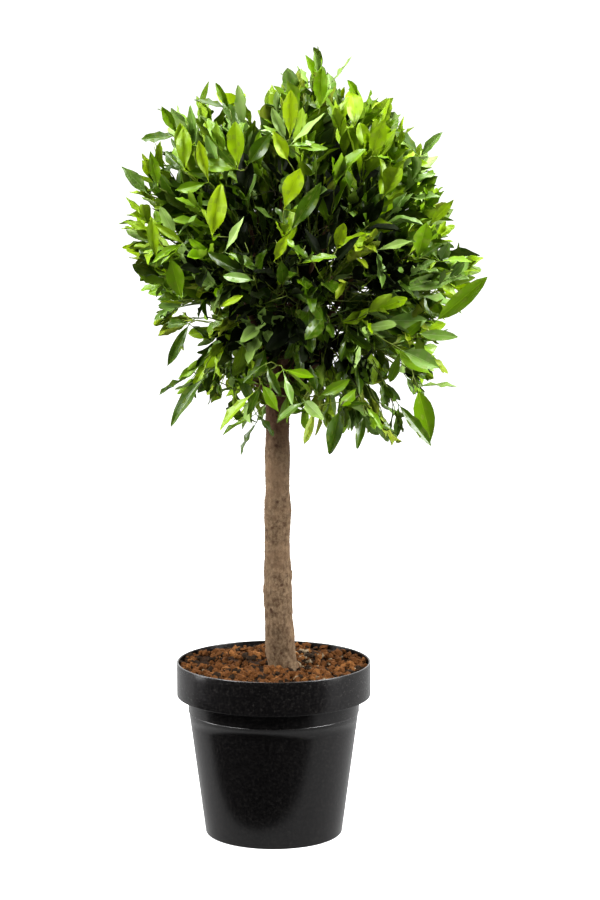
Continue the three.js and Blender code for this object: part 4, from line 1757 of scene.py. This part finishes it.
def leaf_map(count):
    """A square cell for each leaf, upper sheet on its left and under sheet on its right."""
    cells = math.ceil(math.sqrt(count))
    t = OUTLINE[1:-1, 0]

    def sheet(columns, left):
        across = left + 0.2 + 0.19 * columns
        rows = np.stack(np.broadcast_arrays(across[None], 0.04 + 0.92 * t[:, None]), axis=-1)
        return np.concatenate(
            [[[left + 0.2, 0.02]], rows.reshape(-1, 2), [[left + 0.2, 0.98]]]
        )

    stalk = np.array([(across, down) for down in (0.1, 0.4) for across in (0.93, 0.95, 0.97)])
    one = np.concatenate([sheet(UPPER, 0.02), sheet(LOWER, 0.48), stalk])
    number = np.arange(count)
    corner = np.stack([number % cells, number // cells], axis=-1)
    return (corner[:, None] + one[None]) / cells


print("stations along a leaf:", len(OUTLINE))

# %% [markdown]
# ## Where each leaf goes
#
# New growth is yellow-green and sits at the tips of the best lit shoots, at the top and
# towards the key light: partly how a tree grows, partly painted light. Older leaves go from
# mid green to deep green. Nearly black green leaves deep in the head and in the heart of
# its front, and the darker leaves set behind the listed ones, are painted shade. Pale
# bluish leaves carry painted sheen, the room's reflection in their gloss, some with their
# own bluish tone as well. A spray draws its kind once, so that colours come in sprays and
# not leaf by leaf.

# %% Placing leaves
# Kinds of leaf: blade, rib and underside as screen colours, and the blade's roughness and
# specular level
KINDS = {
    "lime": ((122, 146, 0), (136, 158, 24), (114, 134, 28), 0.40, 0.18),
    "fresh": ((112, 140, 0), (130, 154, 26), (110, 132, 30), 0.35, 0.25),
    "mid": ((90, 122, 0), (112, 142, 24), (98, 122, 30), 0.32, 0.3),
    "deep": ((50, 74, 0), (76, 100, 20), (70, 86, 26), 0.30, 0.32),
    "olive": ((102, 120, 10), (124, 138, 40), (112, 122, 42), 0.45, 0.2),
    # Painted shade: nearly black leaves for sprays deep in the head and in the heart of its
    # front
    "dark": ((11, 20, 0), (22, 32, 4), (18, 24, 4), 0.5, 0.08),
    # Partly the leaf's own bluish tone and partly painted sheen, the room's reflection in the
    # wax
    "bluish_with_painted_sheen": ((96, 126, 50), (122, 148, 84), (112, 132, 74), 0.32, 0.45),
    # Painted sheen: pale leaves that stand for the room's reflection in their gloss
    "painted_sheen": ((118, 144, 70), (138, 160, 96), (126, 148, 86), 0.42, 0.28),
}
KIND_NAMES = list(KINDS)
assert list(LEAVES_IN_VIEW) == KIND_NAMES  # listed leaves carry their kind's number
# Shares of the kinds in sprays that are well lit, shaded, at the bottom of the head, deep
# inside it, and in its dark heart
# Painted light: sprays turned to the key light draw from the lit shares, with more new growth,
# and those turned away from the shaded ones, with more painted sheen
LIT_SHARES = {"fresh": 0.34, "mid": 0.36, "deep": 0.10, "bluish_with_painted_sheen": 0.14, "painted_sheen": 0.06}
SHADED_SHARES = {
    "fresh": 0.30, "mid": 0.22, "deep": 0.04, "olive": 0.10, "bluish_with_painted_sheen": 0.20, "painted_sheen": 0.14
}
LOW_SHARES = {
    "fresh": 0.24, "mid": 0.16, "deep": 0.06, "olive": 0.24, "bluish_with_painted_sheen": 0.16, "painted_sheen": 0.14
}
# Painted shade: sprays deep inside the head and in its heart draw darker kinds
INNER_SHARES = {"mid": 0.30, "deep": 0.38, "olive": 0.10, "dark": 0.22}
HEART_SHARES = {"deep": 0.25, "dark": 0.75}
LIGHT_SIDE = unit(np.array([-0.62, -0.42, 0.66]))
# The heart of the front, which the sprays around it shade
SHADED_HEART = {
    "middle": np.array([0.04, 0.0, 0.92]), "reach": np.array([0.16, 9.0, 0.165])
}
# New growth: its share of shaded sprays, how much more of lit ones, leaves in each, and the
# height in the head from which it shows
FLUSH = {"least": 0.05, "lit": 0.5, "leaves": (3, 6), "above": 0.3}
# By height in the head, from 0 at its bottom to 1 at its top: how far leaves spread from
# the shoot, how they lift, how large they are, and which share of sprays has low kinds
SPREAD = ([0, 0.5, 1], [1.1, 1.0, 0.72])
LIFT = ([0, 0.12, 0.3, 0.6, 1], [-0.6, -0.2, -0.02, 0.2, 0.36])
SIZE = ([0.1, 0.4, 0.65], [0.8, 0.86, 1.0])
LOW_KINDS = ([0.25, 0.55], [0.8, 0])
# Along the shoot, from 0 at its foot to 1 at its tip: degrees from the shoot, and size
ANGLE = ([0, 0.7, 1], [62, 46, 18])
SIZE_ALONG = ([0, 0.5, 0.9, 1], [1.0, 1.06, 0.92, 0.72])


def draw_kind(lit, inner, in_heart, low):
    """The kind of a spray, from how well lit it is and how deep in the head it ends."""
    def listed_shares(table):
        return np.array([table.get(kind, 0) for kind in KIND_NAMES])

    shares = lit * listed_shares(LIT_SHARES) + (1 - lit) * listed_shares(SHADED_SHARES)
    if in_heart or inner or low:
        other = HEART_SHARES if in_heart else INNER_SHARES if inner else LOW_SHARES
        shares = listed_shares(other)
    return int(rng.choice(len(KIND_NAMES), p=shares / shares.sum()))


# How a leaf bends. Spread of its lopsidedness, sideways bow and twist; mean, spread, least
# and most fold along the rib in degrees; mean and spread of its droop; and its waves.
FREE_LEAF = {
    "skew": 0.12, "bow": 0.07, "twist": 0.45, "fold": (21, 9, -4, 40),
    "droop": (0.25, 0.4), "wave": (0.0012, 0.0042),
}
LISTED_LEAF = {
    "skew": 0.10, "bow": 0.04, "twist": 0.22, "fold": (20, 7, 0, 36),
    "droop": (0.1, 0.16), "wave": (0.0016, 0.0042),
}


def leaf_bends(count, spreads):
    """The bends of some leaves, as a dict of arrays."""
    middle, spread, least, most = spreads["fold"]
    skew = rng.normal(0, spreads["skew"], count)
    fold = rng.normal(middle, spread, count).clip(least, most)
    return {
        "skew": skew,
        "fold": np.tan(np.radians(fold)),
        "wave": rng.uniform(*spreads["wave"], count),
        "waves": rng.uniform(*LEAF["waves"], count),
        "phase": rng.uniform(0, 2 * np.pi, count),
        "droop": rng.normal(*spreads["droop"], count) + 1e-4,
        "twist": rng.normal(0, spreads["twist"], count),
        "bow": rng.normal(0, spreads["bow"], count),
    }


def spray_leaves(member, points):
    """The leaves of one shoot, as a dict of arrays."""
    steps = np.linalg.norm(np.diff(points, axis=0), axis=1)
    run = np.concatenate([[0], np.cumsum(steps)])
    inner = bool(shoots["inner"][member])
    spacing = LEAF["spacing"] * rng.uniform(0.88, 1.2)
    spacing *= LEAF["inner_spacing"] if inner else 1.0
    places = np.arange(run[-1] * 0.1, run[-1], spacing)
    places = np.append(places, [run[-1] * 0.995, run[-1]])
    count = len(places)
    share = places / run[-1]

    def along(runs):
        return np.stack([np.interp(runs, run, points[:, i]) for i in range(3)], axis=1)

    foot = along(places)
    shoot = unit(along(places + 0.004) - along(places - 0.004))
    turn = rng.uniform(0, 2 * np.pi) + GOLDEN_ANGLE * np.arange(count)
    helper = np.where(np.abs(shoot[:, 2:3]) < 0.9, [[0, 0, 1.0]], [[1.0, 0, 0]])
    first = unit(np.cross(shoot, helper))
    second = np.cross(shoot, first)
    away = first * np.cos(turn)[:, None] + second * np.sin(turn)[:, None]
    level = float(depth_share(foot[-1:])[0])
    angle = np.radians(np.interp(level, *SPREAD) * np.interp(share, *ANGLE))
    angle = angle + rng.normal(0, 0.16, count)
    axis = shoot * np.cos(angle)[:, None] + away * np.sin(angle)[:, None]
    outward = unit(foot - head_middle)
    axis = unit(axis + np.array([0, 0, np.interp(level, *LIFT)]) + 0.3 * outward)
    normal = shoot - axis * (shoot * axis).sum(1, keepdims=True)
    normal = unit(normal) + np.array([0, 0, 0.55]) + 0.2 * outward
    normal = normal + rng.normal(0, 0.4, (count, 3))
    normal = unit(normal - axis * (normal * axis).sum(1, keepdims=True))
    size = rng.normal(LEAF["length"], LEAF["spread"], count)
    size = size * np.interp(share, *SIZE_ALONG) * np.interp(level, *SIZE)
    size = np.clip(size, *LEAF["lengths"])
    # Painted light: how far the spray is turned to the key light picks its kinds and its share
    # of new growth
    lit = 0.5 + 0.5 * float(unit(foot[-1] - head_middle) @ LIGHT_SIDE)
    off = (foot[-1] - SHADED_HEART["middle"]) / SHADED_HEART["reach"]
    in_heart = foot[-1, 1] < 0 and rng.random() < math.exp(-float(off @ off))
    low = rng.random() < np.interp(level, *LOW_KINDS)
    kind = np.full(count, draw_kind(lit, inner, in_heart, low))
    flush = FLUSH["least"] + FLUSH["lit"] * lit**2.2
    showing = not inner and not in_heart and level > FLUSH["above"]
    if showing and outward[-1, 1] > -0.2 and rng.random() < flush:
        new = int(rng.integers(*FLUSH["leaves"]))
        kind[-new:] = KIND_NAMES.index("lime")
        older = kind[:-new]
        older[older >= KIND_NAMES.index("deep")] = KIND_NAMES.index("mid")
    return {
        "foot": foot,
        "base": foot + axis * LEAF["stalk"],
        "axis": axis,
        "normal": normal,
        "length": size,
        "width": size * rng.uniform(*LEAF["slimness"], count),
        "blunt": rng.uniform(-0.3, 0.9, count),
        **leaf_bends(count, FREE_LEAF),
        "kind": kind,
        "owner": np.full(count, int(shoots["owner"][member])),
    }


sprays = []
for member in sorted(leafy_shoots):
    name = mass_names[shoots["owner"][member]].removeprefix("leaves_")
    points = np.array([trees[name]["points"][n] for n in leafy_shoots[member]])
    sprays.append(spray_leaves(member, points))
leaves = {key: np.concatenate([spray[key] for spray in sprays]) for key in sprays[0]}
print(len(leaves["base"]), "leaves in", len(sprays), "sprays")


def listed_leaves(foot, tip, width, kind, owner):
    """The listed leaves in the form of the others, turned to show their listed width."""
    count = len(foot)
    axis = unit(tip - foot)
    length = np.linalg.norm(tip - foot, axis=1)
    whole = np.maximum(0.92 * width, LEAF["slimness"][0] * length)
    eye = np.array([0, -1.0, 0.14])
    towards = unit(eye - axis * (axis @ eye)[:, None])
    aside = np.cross(axis, towards)
    roll = np.arccos(np.clip(width / whole, 0.12, 1))
    roll = np.where(aside[:, 2] < 0, -roll, roll)[:, None]
    young = kind <= KIND_NAMES.index("fresh")
    return {
        "foot": foot - LISTED["stalk"] * axis,
        "base": foot,
        "axis": axis,
        "normal": towards * np.cos(roll) + aside * np.sin(roll),
        "length": length,
        "width": whole,
        "blunt": rng.uniform(-0.4, 0.5, count) + 0.25 * young,
        **leaf_bends(count, LISTED_LEAF),
        "kind": kind,
        "owner": owner,
    }


# The kind of leaf that stands behind each kind: darker, as painted shade
DARKER = {
    "lime": "fresh", "fresh": "mid", "mid": "deep", "deep": "deep",
    "olive": "deep", "dark": "dark", "bluish_with_painted_sheen": "mid", "painted_sheen": "bluish_with_painted_sheen",
}


def companions(listed):
    """Darker leaves at the feet of the listed ones, so that each belongs to a spray; their
    darker kinds are painted shade.
    """
    total = len(listed["base"])
    chosen = np.repeat(np.arange(total), rng.integers(1, 4, total))
    made = {key: value[chosen].copy() for key, value in listed.items()}
    count = len(chosen)
    side = np.cross(made["axis"], [0, -1.0, 0])
    swing = np.radians(rng.uniform(30, 95, count)) * rng.choice([-1, 1], count)
    axis = made["axis"] * np.cos(swing)[:, None] + unit(side) * np.sin(swing)[:, None]
    made["axis"] = unit(axis + [0, 0.35, 0] + rng.normal(0, 0.15, (count, 3)))
    made["base"] = made["foot"] + made["axis"] * LEAF["stalk"] + [0, 0.008, 0]
    normal = [0.1, -0.55, 0.8] + rng.normal(0, 0.4, (count, 3))
    lift = (normal * made["axis"]).sum(1, keepdims=True)
    made["normal"] = unit(normal - made["axis"] * lift)
    made["length"] = rng.uniform(0.038, 0.064, count)
    made["width"] = made["length"] * rng.uniform(*LEAF["slimness"], count)
    for key in ("phase", "blunt", "droop", "twist"):
        made[key] = rng.permutation(made[key])
    next_kind = np.array([KIND_NAMES.index(DARKER[kind]) for kind in KIND_NAMES])
    # Painted shade: one kind darker, and for some leaves two
    made["kind"] = next_kind[made["kind"]]
    made["kind"] = np.where(rng.random(count) < 0.3, next_kind[made["kind"]], made["kind"])
    return made


# The others keep clear of round spots along a listed leaf, at these shares of its length
SPOTS = (0.15, 0.4, 0.65, 0.9)
SPOT_MARGIN = 0.006
listed = listed_leaves(*eye_catching)
beside = companions(listed)
leaves = {key: np.concatenate([value, beside[key]]) for key, value in leaves.items()}
# The others make way: they keep out of the gaps, and don't hang in front of a listed leaf
along = leaves["axis"] * leaves["length"][:, None]
ends = np.stack([leaves["base"] + along * t for t in (0.0, 0.5, 1.0)], axis=1)
seen = seen_from_front(ends)
gone = in_circles(seen, sky_gaps, CLEAR_OF_CIRCLE["leaf"]).any(1)
before_hollow = in_circles(seen, hollows, CLEAR_OF_CIRCLE["leaf"]).any(1)
gone |= before_hollow & (ends[:, 1, 1] < HOLLOW_DEPTH)
along = listed["axis"] * listed["length"][:, None]
spots = np.concatenate([listed["base"] + along * t for t in SPOTS])
spot_sizes = np.tile(listed["width"], len(SPOTS)) * 0.5 + SPOT_MARGIN
apart = np.linalg.norm(seen[:, :, None] - seen_from_front(spots), axis=-1)
nearer = ends[:, :, None, 1] < spots[:, 1] + SPOT_MARGIN
gone |= ((apart < spot_sizes) & nearer).any((1, 2))
leaves = {key: value[~gone] for key, value in leaves.items()}
print(int(gone.sum()), "leaves make way for", len(listed["base"]), "listed ones")

# %% Keep the leaves inside the tree's own size
# A leaf that would reach past the head's box is shortened to end just outside it.
REACH_MARGIN = 0.006
PAST_OUTLINE = 0.026  # how far a leaf may stand out past the outline, at most
RIM = 0.7  # beyond this share of the outline, daylight reaches a leaf
SHORTEST_SHARE = 0.72  # a leaf that would lose more than this leaves it is left out
lowest, highest = head_low - REACH_MARGIN, head_high + REACH_MARGIN
room = np.where(leaves["axis"] > 0, highest - leaves["base"], leaves["base"] - lowest)
room = room / np.maximum(np.abs(leaves["axis"]), 1e-6)
share = np.clip(room.min(1) / leaves["length"], 0, 1)
leaves["length"] = leaves["length"] * share
leaves["width"] = leaves["width"] * share
tips = leaves["base"] + leaves["axis"] * leaves["length"][:, None]
out, may = outline_room(tips)
may = may + rng.uniform(0, PAST_OUTLINE, len(may))
start, _ = outline_room(leaves["base"])
share = np.clip((may - start) / np.maximum(out - start, 1e-6), 0, 1)
share[out < may] = 1
leaves["length"] = leaves["length"] * share
leaves["width"] = leaves["width"] * np.sqrt(share)
kept = (leaves["length"] > LEAF["least"]) & (share > SHORTEST_SHARE)
# No leaf is as dark as the heart of the head where daylight reaches it from behind
dark, deep = KIND_NAMES.index("dark"), KIND_NAMES.index("deep")
at_rim = (out > RIM * may) & (leaves["kind"] == dark)
leaves["kind"][at_rim] = deep
leaves = {key: np.concatenate([value[kept], listed[key]]) for key, value in leaves.items()}
print("shortened:", int((share[kept] < 1).sum()), "left out:", int((~kept).sum()))

# %% Leaf finishes
def leaf_material(name, colour, roughness, gloss):
    """A plain base colour for its kind, with a waxy gloss that is mottled over the leaf."""
    material, nodes, links, shader = new_material(name)
    shader.inputs["Base Color"].default_value = colour
    shader.inputs["Specular IOR Level"].default_value = gloss
    grain = placed(nodes, links, GRAIN, Scale=140.0, Roughness=0.6)
    rough = value_range(
        nodes, links, grain["Coarse"], 0.32, 0.68, roughness - 0.03, roughness + 0.06
    )
    links.new(rough, shader.inputs["Roughness"])
    return material


leaf_materials = []
for kind, (blade, rib, under, roughness, gloss) in KINDS.items():
    leaf_materials += [
        leaf_material(kind + "_blade", linear(*blade), roughness, gloss),
        leaf_material(kind + "_rib", linear(*rib), roughness + 0.08, 0.8 * gloss),
        leaf_material(kind + "_underside", linear(*under), 0.62, 0.12),
    ]

# %% Leaf pieces
leaf_triangles = 0
for number, node_name in enumerate(mass_names):
    own = {key: value[leaves["owner"] == number] for key, value in leaves.items()}
    count = len(own["base"])
    points, quads, tris, quad_slots, tri_slots = leaf_mesh(own)
    slot_of = 3 * own["kind"][:, None]
    spray_piece, made = new_piece(
        "bay_" + node_name,
        points.reshape(-1, 3),
        [quads.reshape(-1, 4), tris.reshape(-1, 3)],
        leaf_materials,
        [(slot_of + quad_slots).ravel(), (slot_of + tri_slots).ravel()],
        leaf_map(count).reshape(-1, 2),
    )
    leaf_triangles += made
    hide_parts(node_name)
print("leaf triangles:", leaf_triangles)
